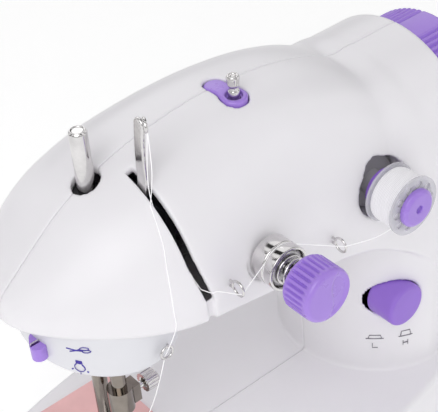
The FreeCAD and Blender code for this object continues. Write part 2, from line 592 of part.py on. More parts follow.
def make_presser_foot():
    low, high = PLATE_TOP + 0.2, PLATE_TOP + 1.6
    sole = prism([V(-66.5, -15, low), V(-66.5, -1.8, low), V(-66.5, 4, low + 1.45), V(-66.5, 4, high + 1.45),
                  V(-66.5, -1.8, high), V(-66.5, -15, high)], V(10, 0, 0))
    toe = prism([V(-66.5, -15, low), V(-66.5, -15, high), V(-66.5, -20, high + 2.8),
                 V(-66.5, -20.6, high + 1.6)], V(10, 0, 0))
    ears = [box(x, x + 1.3, -5.5, -0.5, PLATE_TOP + 1, FOOT_PIN_Z + 2.2) for x in (-65.0, -59.3)]
    pin = rod(V(-65, FOOT_PIN_Y, FOOT_PIN_Z), X_AXIS, 1, 7)
    foot = sole.fuse([toe] + ears + [pin])
    slot = hull_prism([(NEEDLE_X, NEEDLE_Y + 0.8, 1.31), (NEEDLE_X, NEEDLE_Y - 3, 1.3)], 50, 60)
    split = box(NEEDLE_X - 0.9, NEEDLE_X + 0.9, -22, NEEDLE_Y - 3, 50, 62)
    return foot.cut([slot, split])


def ribbed_spring(centre, axis, radius, wire, turns, height):
    """Plain solid in the room a coil spring takes: a sleeve with one rib for each turn of wire."""
    pitch = height / turns
    profile = [(radius - wire, 0)]
    for i in range(turns):
        profile += [(radius, pitch * i), (radius + wire, pitch * (i + 0.5))]
    profile += [(radius, height), (radius - wire, height)]
    return turned(profile, centre, axis)


def make_presser_spring():
    return ribbed_spring(V(PRESSER_X, PRESSER_Y, PRESSER_COLLAR_Z + 2.1), Z_AXIS, 3.2, 0.45, 4, 12.6)


def make_presser_lifter():
    x, z = LIFTER_X, LIFTER_Z
    shaft = rod(V(x, 17, z), Y_AXIS, LIFTER_R, 17)
    hub = rod(V(x, 17, z), Y_AXIS, 2.8, 3)
    nose = box(x, x + LIFTER_NOSE, 17, 20, z - LIFTER_NOSE_R, z + LIFTER_NOSE_R)
    nose = nose.fuse(rod(V(x + LIFTER_NOSE, 17, z), Y_AXIS, LIFTER_NOSE_R, 3))
    handle = hull_prism([(x, z, 3.5), (x, z - 24, 2.4)], 0, 2.6)
    handle.Placement = FreeCAD.Placement(V(0, 34, 0), FreeCAD.Rotation(X_AXIS, 90))
    return shaft.fuse([hub, nose, handle])


def make_take_up_lever():
    """Flat strip: hub inside the head, bend in the slot, upright end with its eyelet."""
    t = LEVER_X1 - LEVER_X0
    corners = [(1.2, LEVER_Z + 2.8), (-12.6, 177.5), (-13.3, 188), (-14.6, 200.6), (-16.4, 203.6),
               (-19.4, 204.2), (-21.4, 202.4), (-20.6, 199.6), (-18.2, 196), (-17.3, 188),
               (-16.2, 178), (-3, 154.6)]
    strip = prism([V(LEVER_X0, y, z) for y, z in corners], V(t, 0, 0))
    hub = rod(V(LEVER_X0, 0, LEVER_Z), X_AXIS, 3.2, t)
    pivot = rod(V(LEVER_X1, 0, LEVER_Z), X_AXIS, 1.5, 12)
    eye = rod(V(LEVER_X0 - 1, -18.8, 201.6), X_AXIS, 0.9, t + 2)
    return strip.fuse([hub, pivot]).cut(eye)


# ---- bed, feed and hook ----
HOOK_R, HOOK_TOP = 17.5, 50.0
GEAR_TEETH, GEAR_R = 12, 8.5
TEETH_TOP = PLATE_TOP + 0.1
FACE_GEAR_Z = 34.1


def make_needle_plate():
    x0, x1, y0 = BED_X0 - PLATE_MARGIN + GAP, BED_X1 + PLATE_MARGIN - GAP, BED_Y0 - PLATE_MARGIN + GAP
    plate = box(x0, x1, y0, PLATE_REAR, PLATE_TOP - PLATE_THICK, PLATE_TOP)
    slots = [box(x, x + 3, -21, 1, 50, 60) for x in (-67, -59)]
    return plate.cut(slots + [rod(V(NEEDLE_X, NEEDLE_Y, 50), Z_AXIS, 1.1, 10)])


def make_slide_plate():
    plate = box(BED_X0 - 2, BED_X1 + 2, PLATE_REAR + 0.5, BED_Y1 + 4, BASE_TOP, BASE_TOP + 1.4)
    corners = [e for e in plate.Edges if abs(e.BoundBox.ZLength - 1.4) < 0.01]
    return plate.makeFillet(3, corners)


def make_feed_dog():
    body = box(-68, -55, -30, -3, 51.8, 53.8)
    strips = []
    for x in (-66.5, -58.5):
        strip = box(x, x + 2, -17, -3, 53.8, TEETH_TOP)
        strips.append(strip)
    pegs = [rod(V(NEEDLE_X, y, 48), Z_AXIS, 1.5, 4) for y in (-28, -18)]
    notches = [prism([V(-70, y, PLATE_TOP), V(-70, y - 0.7, PLATE_TOP - 1.1), V(-70, y - 1.4, PLATE_TOP)],
                     V(20, 0, 0)) for y in [-3.4 - 1.5 * i for i in range(9)]]
    dog = body.fuse(strips + pegs)
    return dog.cut(notches + [rod(V(NEEDLE_X, NEEDLE_Y, 50), Z_AXIS, 2.6, 6)])


def make_feed_bar():
    bar = box(-67, -56, -33, -12, 46, 50.5)
    return bar.cut([rod(V(NEEDLE_X, y, 45), Z_AXIS, 1.5 + RUNNING, 6) for y in (-28, -18)])


def make_lower_shaft():
    return rod(V(-56, HOOK_Y, LOWER_SHAFT_Z), X_AXIS, LOWER_SHAFT_R, TIMING_X1 + 2 + 56)


def make_lower_gear():
    x0, x1 = -54.5, -51.5
    core = tube(V(x0, HOOK_Y, LOWER_SHAFT_Z), X_AXIS, GEAR_R - 1.5, LOWER_SHAFT_R, x1 - x0)
    teeth = []
    for i in range(GEAR_TEETH):
        tooth = box(x0, x1, HOOK_Y - 0.75, HOOK_Y + 0.75, LOWER_SHAFT_Z + 6.5, LOWER_SHAFT_Z + GEAR_R + 1.1)
        tooth.rotate(V(0, HOOK_Y, LOWER_SHAFT_Z), X_AXIS, 360 / GEAR_TEETH * i)
        teeth.append(tooth)
    return core.fuse(teeth).removeSplitter()


def make_hook_gear():
    disc = tube(V(HOOK_X, HOOK_Y, FACE_GEAR_Z), Z_AXIS, 11, 3, 36 - FACE_GEAR_Z)
    half = radians(5.5)
    teeth = []
    for i in range(GEAR_TEETH):
        middle = radians(360 / GEAR_TEETH * (i + 0.5))
        corners = [(6.6, middle - half), (10.4, middle - half), (10.4, middle + half), (6.6, middle + half)]
        outline = [V(HOOK_X + r * cos(a), HOOK_Y + r * sin(a), FACE_GEAR_Z - 2.4) for r, a in corners]
        teeth.append(prism(outline, V(0, 0, 2.9)))
    return disc.fuse(teeth).removeSplitter()


def make_hook():
    cup = tube(V(HOOK_X, HOOK_Y, 36), Z_AXIS, HOOK_R, HOOK_R - 1.8, HOOK_TOP - 36)
    floor = rod(V(HOOK_X, HOOK_Y, 36), Z_AXIS, HOOK_R, 1.8)
    shaft = rod(V(HOOK_X, HOOK_Y, PLATE_Z1 + 2), Z_AXIS, 3, 36 - PLATE_Z1 - 2)
    notch = box(HOOK_X - 7, HOOK_X + 2, HOOK_Y - 20, HOOK_Y - 14, 43, 51)
    return cup.fuse([floor, shaft]).cut(notch)


def make_bobbin_case():
    case = tube(V(HOOK_X, HOOK_Y, 38.2), Z_AXIS, 15.2, 11.0, 12.4)
    floor = rod(V(HOOK_X, HOOK_Y, 38.2), Z_AXIS, 15.2, 1.2)
    post = rod(V(HOOK_X, HOOK_Y, 39), Z_AXIS, 3.0, 8)
    return case.fuse([floor, post])


def bobbin_solid(centre, axis, width):
    """Class-15 type bobbin: two flanges with a ring of holes on a thin core."""
    r, t = BOBBIN_R, 0.8
    body = turned([(3.05, 0), (r, 0), (r, t), (4.2, t), (4.2, width - t), (r, width - t), (r, width),
                   (3.05, width)], V(0, 0, 0), Z_AXIS)
    holes = [rod(V(7.3 * cos(a), 7.3 * sin(a), -1), Z_AXIS, 1.35, width + 2)
             for a in [radians(36 * i) for i in range(10)]]
    body = body.cut(holes)
    body.Placement = FreeCAD.Placement(centre, FreeCAD.Rotation(Z_AXIS, axis))
    return body


def make_lower_bobbin():
    return bobbin_solid(V(HOOK_X, HOOK_Y, 39.6), Z_AXIS, 10.5)


# ---- front of the arm ----
BOBBIN_R, BOBBIN_FRONT_Y, BOBBIN_WIDTH = 10.15, -46.6, 11.0
SPINDLE_R, SPINDLE_LENGTH = 3.0, 33.9


def make_spool_spindle():
    """Distances along the axis run to the front from the rear end of the spindle."""
    rear_y = -14.0
    profile = [(0, 0), (SPINDLE_R, 0), (SPINDLE_R, 11), (9, 11), (9, 14), (4.5, 14), (4.5, 21.6),
               (SPINDLE_R, 21.6), (SPINDLE_R, SPINDLE_LENGTH), (0, SPINDLE_LENGTH)]
    return turned(profile, V(SPINDLE_X, rear_y, SPINDLE_Z), V(0, -1, 0))


def make_top_bobbin():
    return bobbin_solid(V(SPINDLE_X, BOBBIN_FRONT_Y, SPINDLE_Z), Y_AXIS, BOBBIN_WIDTH)


def make_bobbin_thread():
    return turned([(4.2, 0), (8.9, 0), (9.2, 1), (9.3, 4.7), (9.2, 8.4), (8.9, 9.4), (4.2, 9.4)],
                  V(SPINDLE_X, BOBBIN_FRONT_Y + 0.8, SPINDLE_Z), Y_AXIS)


def make_bobbin_cap():
    return turned([(3, 0), (6.1, 0), (6.5, 0.4), (6.5, 2.0), (5.9, 2.6), (1.35, 2.6), (1.35, 1.4), (3, 1.4)],
                  V(SPINDLE_X, BOBBIN_FRONT_Y, SPINDLE_Z), V(0, -1, 0))


KNOB_REAR_Y, KNOB_FRONT_Y, KNOB_R = -51.8, -62.4, 9.25
WIRE_GUIDES = [(6.4, 138.0), (-38.0, 150.4)]          # (x, z)
RING_GUIDE_X, RING_GUIDE_Z = -58.5, 132.0
KNOB_GROOVES = 29
DISC_REAR, CUP_REAR, WASHER_REAR, SPRING_REAR = 0.7, 4.3, 6.4, 8.0    # distances in front of the face


def make_tension_stud():
    nut = rod(V(TENSION_X, FACE_Y + WALL + 4.3, TENSION_Z), V(0, -1, 0), 4, 3)
    rear_y = FACE_Y + WALL + 2
    stud = rod(V(TENSION_X, rear_y, TENSION_Z), V(0, -1, 0), 2, rear_y - KNOB_FRONT_Y - 1.5)
    return stud.fuse(nut)


def make_tension_discs():
    outward = V(0, -1, 0)
    r = DISC_R
    seat = turned([(2.05, 0), (r - 0.5, 0), (r, 0.5), (r, 2.9), (r - 0.6, 3.4), (2.05, 1.9)],
                  V(TENSION_X, FACE_Y - DISC_REAR, TENSION_Z), outward)
    cup = turned([(2.05, 0.9), (5.0, 0.9), (r - 0.7, 0), (r, 0.4), (r, 3.9), (r - 0.6, 3.9),
                  (r - 0.6, 2.1), (2.05, 2.0)],
                 V(TENSION_X, FACE_Y - CUP_REAR, TENSION_Z), outward)
    return Part.makeCompound([seat, cup])


def make_tension_washer():
    return turned([(2.05, 0), (6.2, 0), (6.2, 0.7), (5.4, 1.5), (2.05, 1.5)],
                  V(TENSION_X, FACE_Y - WASHER_REAR, TENSION_Z), V(0, -1, 0))


def make_tension_spring():
    start = FACE_Y - SPRING_REAR
    return ribbed_spring(V(TENSION_X, start, TENSION_Z), V(0, -1, 0), 4.6, 0.5, 4, start - KNOB_REAR_Y - 0.1)


def make_tension_knob():
    length = KNOB_REAR_Y - KNOB_FRONT_Y
    knob = turned([(2.05, 0), (KNOB_R - 0.6, 0), (KNOB_R, 0.6), (KNOB_R, length - 1.4),
                   (KNOB_R - 0.5, length - 0.4), (KNOB_R - 1.2, length), (0, length), (0, length - 1),
                   (2.05, length - 1)],
                  V(TENSION_X, KNOB_REAR_Y, TENSION_Z), V(0, -1, 0))
    grooves = []
    ring = KNOB_R + 0.15
    for i in range(KNOB_GROOVES):
        a = 2 * pi * i / KNOB_GROOVES
        centre = V(TENSION_X + ring * cos(a), KNOB_REAR_Y + 1, TENSION_Z + ring * sin(a))
        grooves.append(rod(centre, V(0, -1, 0), 0.6, length - 2.6))
    return knob.cut(grooves)


def wire_loop(x, z, y_face, reach):
    """Round wire ring standing in front of the face, on two short legs."""
    r, wire = 2.4, 0.42
    ring = Part.makeTorus(r, wire, V(x, y_face - reach, z), X_AXIS)
    legs = [rod(V(x, y_face, z + s * 1.0), V(0, -1, 0), wire, reach - r + 0.5) for s in (-1, 1)]
    return ring.fuse(legs)


def make_wire_guides():
    loops = []
    for x, z in WIRE_GUIDES:
        y = min(front_face_y(x, z - 1.5), front_face_y(x, z + 1.5)) - 0.15
        loops.append(wire_loop(x, z, y, 3.6))
    return Part.makeCompound(loops)


def make_ring_guide():
    x, z = RING_GUIDE_X, RING_GUIDE_Z
    y = -SKIRT_B * sqrt(1 - ((x + 2 - SKIRT_X) / SKIRT_A) ** 2) - 0.1
    ring = Part.makeTorus(2.1, 0.45, V(x, y - 2.6, z), Y_AXIS)
    return ring.fuse(rod(V(x + 2.1, y, z), V(0, -1, 0), 0.35, 2.6))


CUTTER = [(-83.5, -3.0, 3.3), (-85.8, -5.4, 2.5)]     # (x, y, r) of the rounded holder on the skirt
CUTTER_Z0, CUTTER_Z1 = 130.6, 135.4
BLADE = (-87.6, -85.0, -4.55, -4.05)                  # x0, x1, y0, y1


def make_cutter_holder():
    holder = hull_prism(CUTTER, CUTTER_Z0, CUTTER_Z1)
    x0, x1, y0, y1 = BLADE
    slit = box(x0 - RUNNING, x1 + RUNNING, y0 - RUNNING, y1 + RUNNING, CUTTER_Z0 + 0.8, CUTTER_Z1 + 1)
    notch = prism([V(x0 - 2, y0 - 0.4, CUTTER_Z1 + 1), V(x1 + 0.4, y0 - 0.4, CUTTER_Z1 + 1),
                   V(x1 + 0.4, y0 - 0.4, CUTTER_Z0 + 2)], V(0, 1.3, 0))
    return holder.cut([skirt_form(0.02, 120, 140), notch, slit])


def make_cutter_blade():
    x0, x1, y0, y1 = BLADE
    return box(x0, x1, y0, y1, CUTTER_Z0 + 0.85, CUTTER_Z1 + 0.6)


# ---- top ----
def make_winder_seat():
    seat = hull_prism(WINDER_SEAT, 180.5, WINDER_SEAT_TOP)
    top = [e for e in seat.Edges if e.BoundBox.ZMin > WINDER_SEAT_TOP - 0.1]
    seat = seat.makeFillet(0.6, top)
    hole = rod(V(WINDER_X, WINDER_Y, 170), Z_AXIS, WINDER_R + RUNNING, 30)
    return seat.cut([hole, rod(V(WINDER_X, WINDER_Y, WINDER_SEAT_TOP - 0.8), Z_AXIS, 2.5, 5)])


def make_winder_spindle():
    spindle = turned([(0, 0), (3, 0), (3, 1.5), (WINDER_R, 1.5), (WINDER_R, 13.4), (2.4, 13.8), (2.4, 14.6),
                      (WINDER_R, 15), (WINDER_R, 18.2), (1.4, 19.3), (0, 19.3)],
                     V(WINDER_X, WINDER_Y, 174.2), Z_AXIS)
    splits = []
    for i in range(3):
        split = box(-3, 3, -0.25, 0.25, 0, 6)
        split.rotate(V(0, 0, 0), Z_AXIS, 60 * i)
        split.translate(V(WINDER_X, WINDER_Y, 190.4))
        splits.append(split)
    return spindle.cut(splits)


def make_spool_pin_socket():
    bottom, top = 170.5, ridge_z(SPOOL_PIN_X) - 4.0
    return tube(V(SPOOL_PIN_X, 0, bottom), Z_AXIS, SOCKET_R, SPOOL_PIN_R + RUNNING, top - bottom)


def make_spool_pin():
    return turned([(0, 0), (SPOOL_PIN_R - 0.4, 0), (SPOOL_PIN_R, 0.5), (SPOOL_PIN_R, 26.6),
                   (SPOOL_PIN_R - 0.6, 27.4), (1.9, 27.4), (1.9, 26.4), (0, 26.4)],
                  V(SPOOL_PIN_X, 0, 168.0), Z_AXIS)


# ---- controls ----
def make_speed_button():
    button = rod(V(SPEED_X, -24, SPEED_Z), V(0, -1, 0), SPEED_R, 12)
    front = [e for e in button.Edges if e.BoundBox.YMax < -35.9]
    return button.makeFillet(0.7, front).fuse(rod(V(SPEED_X, -24, SPEED_Z), Y_AXIS, 2, 2.5))


def make_power_button():
    button = rod(V(64.5, POWER_Y, POWER_Z), X_AXIS, POWER_R, 8.5)
    front = [e for e in button.Edges if e.BoundBox.XMin > 72.9]
    return button.makeFillet(0.6, front)


def make_push_switches():
    speed = box(34, 44, -18, -8, 85, 95)
    power = box(52, 61, -14, -4, 79, 89)
    return Part.makeCompound([speed, power])


def make_lamp():
    return turned([(0, 0), (LAMP_R - 0.6, 0), (LAMP_R, 0.6), (LAMP_R, 2.2), (LAMP_R + 1, 2.2),
                   (LAMP_R + 1, 6), (0, 6)],
                  V(LAMP_X, LAMP_Y, SKIRT_BOTTOM + SKIRT_FLOOR - 2.2), Z_AXIS)


def main():
    os.makedirs("parts", exist_ok=True)
    outer, inner = body_forms()
    nodes = {"front_shell": make_front_shell(outer, inner), "rear_shell": make_rear_shell(outer, inner)}
    makers = [
        make_case_screws, make_head_skirt, make_bottom_plate, make_battery_door, make_rubber_feet,
        make_motor_case, make_motor_rotor, make_drive_belt, make_timing_belt, make_head_frame,
        make_shaft_bushes, make_main_shaft, make_crank_disc, make_connecting_link, make_main_pulley,
        make_timing_pulley, make_lower_timing_pulley, make_handwheel, make_needle_bar, make_needle_clamp,
        make_clamp_screw, make_needle, make_presser_bar, make_presser_foot, make_presser_spring,
        make_presser_lifter, make_take_up_lever, make_needle_plate, make_slide_plate, make_feed_dog,
        make_feed_bar, make_lower_shaft, make_lower_gear, make_hook_gear, make_hook, make_bobbin_case,
        make_lower_bobbin, make_spool_spindle, make_top_bobbin, make_bobbin_thread, make_bobbin_cap,
        make_tension_stud, make_tension_discs, make_tension_washer, make_tension_spring,
        make_tension_knob, make_wire_guides, make_ring_guide, make_cutter_holder, make_cutter_blade,
        make_winder_seat, make_winder_spindle, make_spool_pin_socket, make_spool_pin,
        make_speed_button, make_power_button, make_push_switches, make_lamp]
    for maker in makers:
        nodes[maker.__name__.replace("make_", "", 1)] = maker()
    for name, shape in nodes.items():
        shape.translate(TO_FOOTPRINT_CENTRE)
        shape.exportStep("parts/" + name + ".step")


main()
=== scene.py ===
import json
from math import cos, exp, pi, radians, sin, sqrt

import bmesh
import bpy
import numpy as np
from mathutils import Matrix, Vector

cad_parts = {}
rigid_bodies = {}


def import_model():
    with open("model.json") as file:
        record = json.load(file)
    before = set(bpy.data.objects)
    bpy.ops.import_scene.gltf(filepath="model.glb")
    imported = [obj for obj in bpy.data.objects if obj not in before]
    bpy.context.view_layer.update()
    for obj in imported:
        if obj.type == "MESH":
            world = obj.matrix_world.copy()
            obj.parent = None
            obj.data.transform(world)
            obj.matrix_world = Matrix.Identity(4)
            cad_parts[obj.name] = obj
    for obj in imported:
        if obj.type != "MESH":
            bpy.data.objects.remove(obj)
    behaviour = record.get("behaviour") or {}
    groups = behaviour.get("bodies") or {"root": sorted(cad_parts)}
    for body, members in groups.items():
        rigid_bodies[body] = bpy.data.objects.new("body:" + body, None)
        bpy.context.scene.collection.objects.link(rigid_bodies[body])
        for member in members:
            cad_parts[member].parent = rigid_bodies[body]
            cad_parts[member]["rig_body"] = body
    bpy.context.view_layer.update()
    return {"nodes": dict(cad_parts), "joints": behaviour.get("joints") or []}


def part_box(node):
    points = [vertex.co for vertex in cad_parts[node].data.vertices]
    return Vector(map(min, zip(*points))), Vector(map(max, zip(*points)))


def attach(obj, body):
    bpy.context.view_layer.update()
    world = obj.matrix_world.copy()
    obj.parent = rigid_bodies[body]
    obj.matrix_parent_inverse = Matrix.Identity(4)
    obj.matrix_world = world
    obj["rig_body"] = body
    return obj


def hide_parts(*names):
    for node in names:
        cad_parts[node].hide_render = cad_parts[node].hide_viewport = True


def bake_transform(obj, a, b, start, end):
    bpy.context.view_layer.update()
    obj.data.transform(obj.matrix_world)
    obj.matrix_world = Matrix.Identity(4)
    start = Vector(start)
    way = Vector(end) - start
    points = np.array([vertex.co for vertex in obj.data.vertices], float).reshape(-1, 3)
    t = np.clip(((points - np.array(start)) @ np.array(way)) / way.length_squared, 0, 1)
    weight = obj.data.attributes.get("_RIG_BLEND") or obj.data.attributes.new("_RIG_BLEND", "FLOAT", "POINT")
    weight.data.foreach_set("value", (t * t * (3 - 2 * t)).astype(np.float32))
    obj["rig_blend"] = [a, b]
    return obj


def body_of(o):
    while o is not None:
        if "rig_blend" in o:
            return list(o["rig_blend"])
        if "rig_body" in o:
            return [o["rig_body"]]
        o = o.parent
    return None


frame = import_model()

# Everything is laid out in millimetres like the CAD: X towards the handwheel, Y to the back with
# the seam of the two body halves at Y = 0, Z up from the table. mm() turns it into the row frame.
PIVOT = {j["name"]: Vector(j["pos_m"]) * 1000 for j in frame["joints"] if "pos_m" in j}
SHAFT_Z = 140.0
HANDWHEEL_LEFT = 70.8
LAYOUT_ORIGIN = Vector(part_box("handwheel")[0]) * 1000 - Vector((HANDWHEEL_LEFT, 0.0, 0.0))
LAYOUT_ORIGIN.y = PIVOT["shaft_spin"].y
LAYOUT_ORIGIN.z = 0.0


def mm(x, y, z):
    return (Vector((x, y, z)) + LAYOUT_ORIGIN) / 1000


def centre(node):
    low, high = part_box(node)
    return (low + high) * 500 - LAYOUT_ORIGIN


def span(node):
    low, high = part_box(node)
    return low * 1000 - LAYOUT_ORIGIN, high * 1000 - LAYOUT_ORIGIN


# ---- materials ----
def shader(name):
    material = bpy.data.materials.new(name)
    material.use_nodes = True
    tree = material.node_tree
    return material, tree, tree.nodes["Principled BSDF"]


def linear(colour):
    """sRGB 0-255 to the linear values the shader takes."""
    return [((c / 255 + 0.055) / 1.055) ** 2.4 if c > 10 else c / 3300 for c in colour] + [1.0]


def noise(tree, scale, detail=3.0, roughness=0.55):
    coordinates = tree.nodes.new("ShaderNodeTexCoord")
    texture = tree.nodes.new("ShaderNodeTexNoise")
    texture.inputs["Scale"].default_value = scale
    texture.inputs["Detail"].default_value = detail
    texture.inputs["Roughness"].default_value = roughness
    tree.links.new(coordinates.outputs["Object"], texture.inputs["Vector"])
    return texture.outputs["Fac"]


def spread(tree, source, low, high):
    """Maps a 0-1 texture to a range of roughness or another value."""
    node = tree.nodes.new("ShaderNodeMapRange")
    node.inputs["From Min"].default_value = 0.3
    node.inputs["From Max"].default_value = 0.7
    node.inputs["To Min"].default_value = low
    node.inputs["To Max"].default_value = high
    tree.links.new(source, node.inputs["Value"])
    return node.outputs["Result"]


def two_tones(tree, bsdf, source, first, second):
    """Base colour that drifts between two tones with a texture."""
    mix = tree.nodes.new("ShaderNodeMix")
    mix.data_type = "RGBA"
    mix.inputs["A"].default_value = first
    mix.inputs["B"].default_value = second
    tree.links.new(spread(tree, source, 0.0, 1.0), mix.inputs["Factor"])
    tree.links.new(mix.outputs["Result"], bsdf.inputs["Base Color"])


def bump(tree, bsdf, source, strength, distance):
    """Fine relief from a texture."""
    node = tree.nodes.new("ShaderNodeBump")
    node.inputs["Strength"].default_value = strength
    node.inputs["Distance"].default_value = distance
    tree.links.new(source, node.inputs["Height"])
    tree.links.new(node.outputs["Normal"], bsdf.inputs["Normal"])


def plastic(name, colour, shade=0.95, rough=(0.30, 0.40), grain=0.10, coat=0.0, subsurface=0.0):
    """Injection-moulded plastic: slight cloudiness, uneven gloss and a fine mould texture."""
    material, tree, bsdf = shader(name)
    cloud = noise(tree, 60, 4)
    light = linear(colour)
    dark = [c * shade for c in light[:3]] + [1.0]
    two_tones(tree, bsdf, cloud, dark, light)
    tree.links.new(spread(tree, noise(tree, 180, 3), *rough), bsdf.inputs["Roughness"])
    bump(tree, bsdf, noise(tree, 2600, 2), grain, 0.00005)
    bsdf.inputs["Coat Weight"].default_value = coat
    bsdf.inputs["Coat Roughness"].default_value = 0.12
    bsdf.inputs["Subsurface Weight"].default_value = subsurface
    bsdf.inputs["Subsurface Radius"].default_value = (0.002, 0.0015, 0.002)
    return material


def metal(name, colour, rough=(0.10, 0.20), streak=0.0):
    """Plated or turned metal: fine lines along one direction and patches of duller surface."""
    material, tree, bsdf = shader(name)
    light = linear(colour)
    dark = [c * 0.82 for c in light[:3]] + [1.0]
    two_tones(tree, bsdf, noise(tree, 220, 4), dark, light)
    tree.links.new(spread(tree, noise(tree, 400, 3), *rough), bsdf.inputs["Roughness"])
    bsdf.inputs["Metallic"].default_value = 1.0
    bsdf.inputs["Anisotropic"].default_value = streak
    bump(tree, bsdf, noise(tree, 3000, 2), 0.08, 0.00003)
    return material


def clear(name, colour, alpha, rough=0.12):
    """Clear or tinted plastic seen with its own colour and some of what lies behind."""
    material, tree, bsdf = shader(name)
    light = linear(colour)
    dark = [c * 0.9 for c in light[:3]] + [1.0]
    two_tones(tree, bsdf, noise(tree, 90, 3), dark, light)
    bsdf.inputs["Alpha"].default_value = alpha
    tree.links.new(spread(tree, noise(tree, 300, 3), rough, rough + 0.1), bsdf.inputs["Roughness"])
    return material


def thread_material(name, colour):
    """Wound thread: fine rings of strands across the winding direction."""
    material, tree, bsdf = shader(name)
    coordinates = tree.nodes.new("ShaderNodeTexCoord")
    wave = tree.nodes.new("ShaderNodeTexWave")
    wave.bands_direction = "Y"
    wave.inputs["Scale"].default_value = 620
    wave.inputs["Distortion"].default_value = 1.5
    tree.links.new(coordinates.outputs["Object"], wave.inputs["Vector"])
    light = linear(colour)
    dark = [c * 0.84 for c in light[:3]] + [1.0]
    two_tones(tree, bsdf, wave.outputs["Fac"], dark, light)
    bsdf.inputs["Roughness"].default_value = 0.75
    bsdf.inputs["Sheen Weight"].default_value = 0.3
    bump(tree, bsdf, wave.outputs["Fac"], 0.6, 0.0001)
    return material


WHITE = plastic("shell_white", (236, 234, 238), 0.985, (0.30, 0.38), 0.06, subsurface=0.05)
PALE = plastic("skirt_pale", (224, 224, 229), 0.98, (0.28, 0.36), 0.06)
GREY = plastic("base_grey", (190, 190, 196), 0.95, (0.40, 0.50), 0.12)
PURPLE = plastic("purple_gloss", (166, 130, 224), 0.93, (0.26, 0.36), 0.10, coat=0.25, subsurface=0.04)
PURPLE_SOFT = plastic("purple_satin", (152, 112, 216), 0.92, (0.34, 0.46), 0.14, subsurface=0.04)
DARK = plastic("dark_moulding", (34, 33, 36), 0.8, (0.42, 0.55), 0.2)
INNER = plastic("inner_grey", (168, 166, 170), 0.85, (0.40, 0.55), 0.2)
ACETAL = plastic("white_acetal", (222, 220, 214), 0.95, (0.40, 0.50), 0.1)
RUBBER = plastic("rubber_black", (40, 40, 42), 0.8, (0.60, 0.75), 0.4)
INK = plastic("print_ink_grey", (128, 126, 134), 0.9, (0.45, 0.55), 0.05)
INK_BLUE = plastic("print_ink_violet", (74, 60, 168), 0.9, (0.45, 0.55), 0.05)
CHROME = metal("bright_plated", (222, 220, 220), (0.07, 0.16))
SHADED = metal("shaded_plated", (150, 142, 134), (0.05, 0.12))
STEEL = metal("turned_steel", (178, 177, 178), (0.20, 0.34), 0.4)
PLATE = metal("brushed_plate", (200, 199, 202), (0.18, 0.30), 0.5)
ZINC = metal("zinc_sheet", (150, 152, 156), (0.32, 0.48))
BRONZE = metal("sintered_bronze", (176, 140, 84), (0.30, 0.45))
CLEAR = clear("bobbin_clear", (222, 221, 228), 0.6, 0.05)
PINK = clear("slide_pink", (250, 196, 196), 0.9, 0.15)
LENS = clear("lamp_lens", (238, 238, 226), 0.85, 0.10)
THREAD = thread_material("wound_thread", (250, 249, 252))
GLOWING_STRAND = plastic("loose_thread_painted_glow", (252, 251, 253), 0.97, (0.6, 0.75), 0.3)
# Painted light: the loose thread glows faintly white so that the thin strands stay bright where shade would
# grey them.
GLOWING_STRAND.node_tree.nodes["Principled BSDF"].inputs["Emission Color"].default_value = (1, 1, 1, 1)
GLOWING_STRAND.node_tree.nodes["Principled BSDF"].inputs["Emission Strength"].default_value = 0.15

NODE_MATERIALS = {
    "bottom_plate": GREY, "battery_door": GREY, "rubber_feet": RUBBER, "case_screws": ZINC,
    "cutter_holder": PURPLE, "cutter_blade": CHROME, "wire_guides": CHROME, "ring_guide": CHROME,
    "head_skirt": PALE, "winder_seat": PURPLE, "winder_spindle": CHROME, "spool_pin_socket": DARK,
    "spool_pin": CHROME, "take_up_lever": CHROME, "tension_stud": CHROME, "tension_discs": CHROME,
    "tension_washer": CHROME, "tension_spring": STEEL, "tension_knob": PURPLE, "spool_spindle": INNER,
    "top_bobbin": CLEAR, "bobbin_thread": THREAD, "bobbin_cap": PURPLE, "speed_button": PURPLE_SOFT,
    "power_button": PURPLE_SOFT, "push_switches": DARK, "handwheel": PURPLE, "main_shaft": STEEL,
    "main_pulley": ACETAL, "crank_disc": STEEL, "connecting_link": STEEL, "timing_pulley": ACETAL,
    "lower_timing_pulley": ACETAL, "timing_belt": RUBBER, "drive_belt": RUBBER, "motor_case": STEEL,
    "motor_rotor": STEEL, "lower_shaft": STEEL, "lower_gear": ACETAL, "hook_gear": ACETAL,
    "hook": STEEL, "bobbin_case": DARK, "lower_bobbin": CLEAR, "needle_bar": SHADED,
    "needle_clamp": SHADED, "clamp_screw": CHROME, "needle": CHROME, "presser_bar": SHADED,
    "presser_spring": STEEL, "presser_lifter": GREY, "presser_foot": SHADED, "needle_plate": PLATE,
    "slide_plate": PINK, "feed_dog": STEEL, "feed_bar": STEEL, "lamp": LENS, "head_frame": ZINC,
    "shaft_bushes": BRONZE, "front_shell": WHITE, "rear_shell": WHITE}

for node, material in NODE_MATERIALS.items():
    mesh = frame["nodes"][node].data
    mesh.materials.clear()
    mesh.materials.append(material)


# ---- mesh helpers ----
def piece(name, points, faces, material, node, smooth=True, stands_for=True):
    """A mesh from points in layout millimetres that rides on the body of a CAD node, if one is given."""
    points = (np.asarray(points, float) + np.array(LAYOUT_ORIGIN)) / 1000
    mesh = bpy.data.meshes.new(name)
    mesh.from_pydata(points.tolist(), [], faces if isinstance(faces, list) else faces.tolist())
    mesh.validate()
    if smooth:
        mesh.shade_smooth()
    mesh.materials.append(material)
    thing = bpy.data.objects.new(name, mesh)
    bpy.context.scene.collection.objects.link(thing)
    if node is None:
        return thing
    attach(thing, body_of(frame["nodes"][node])[0])
    if stands_for:
        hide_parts(node)
    return thing


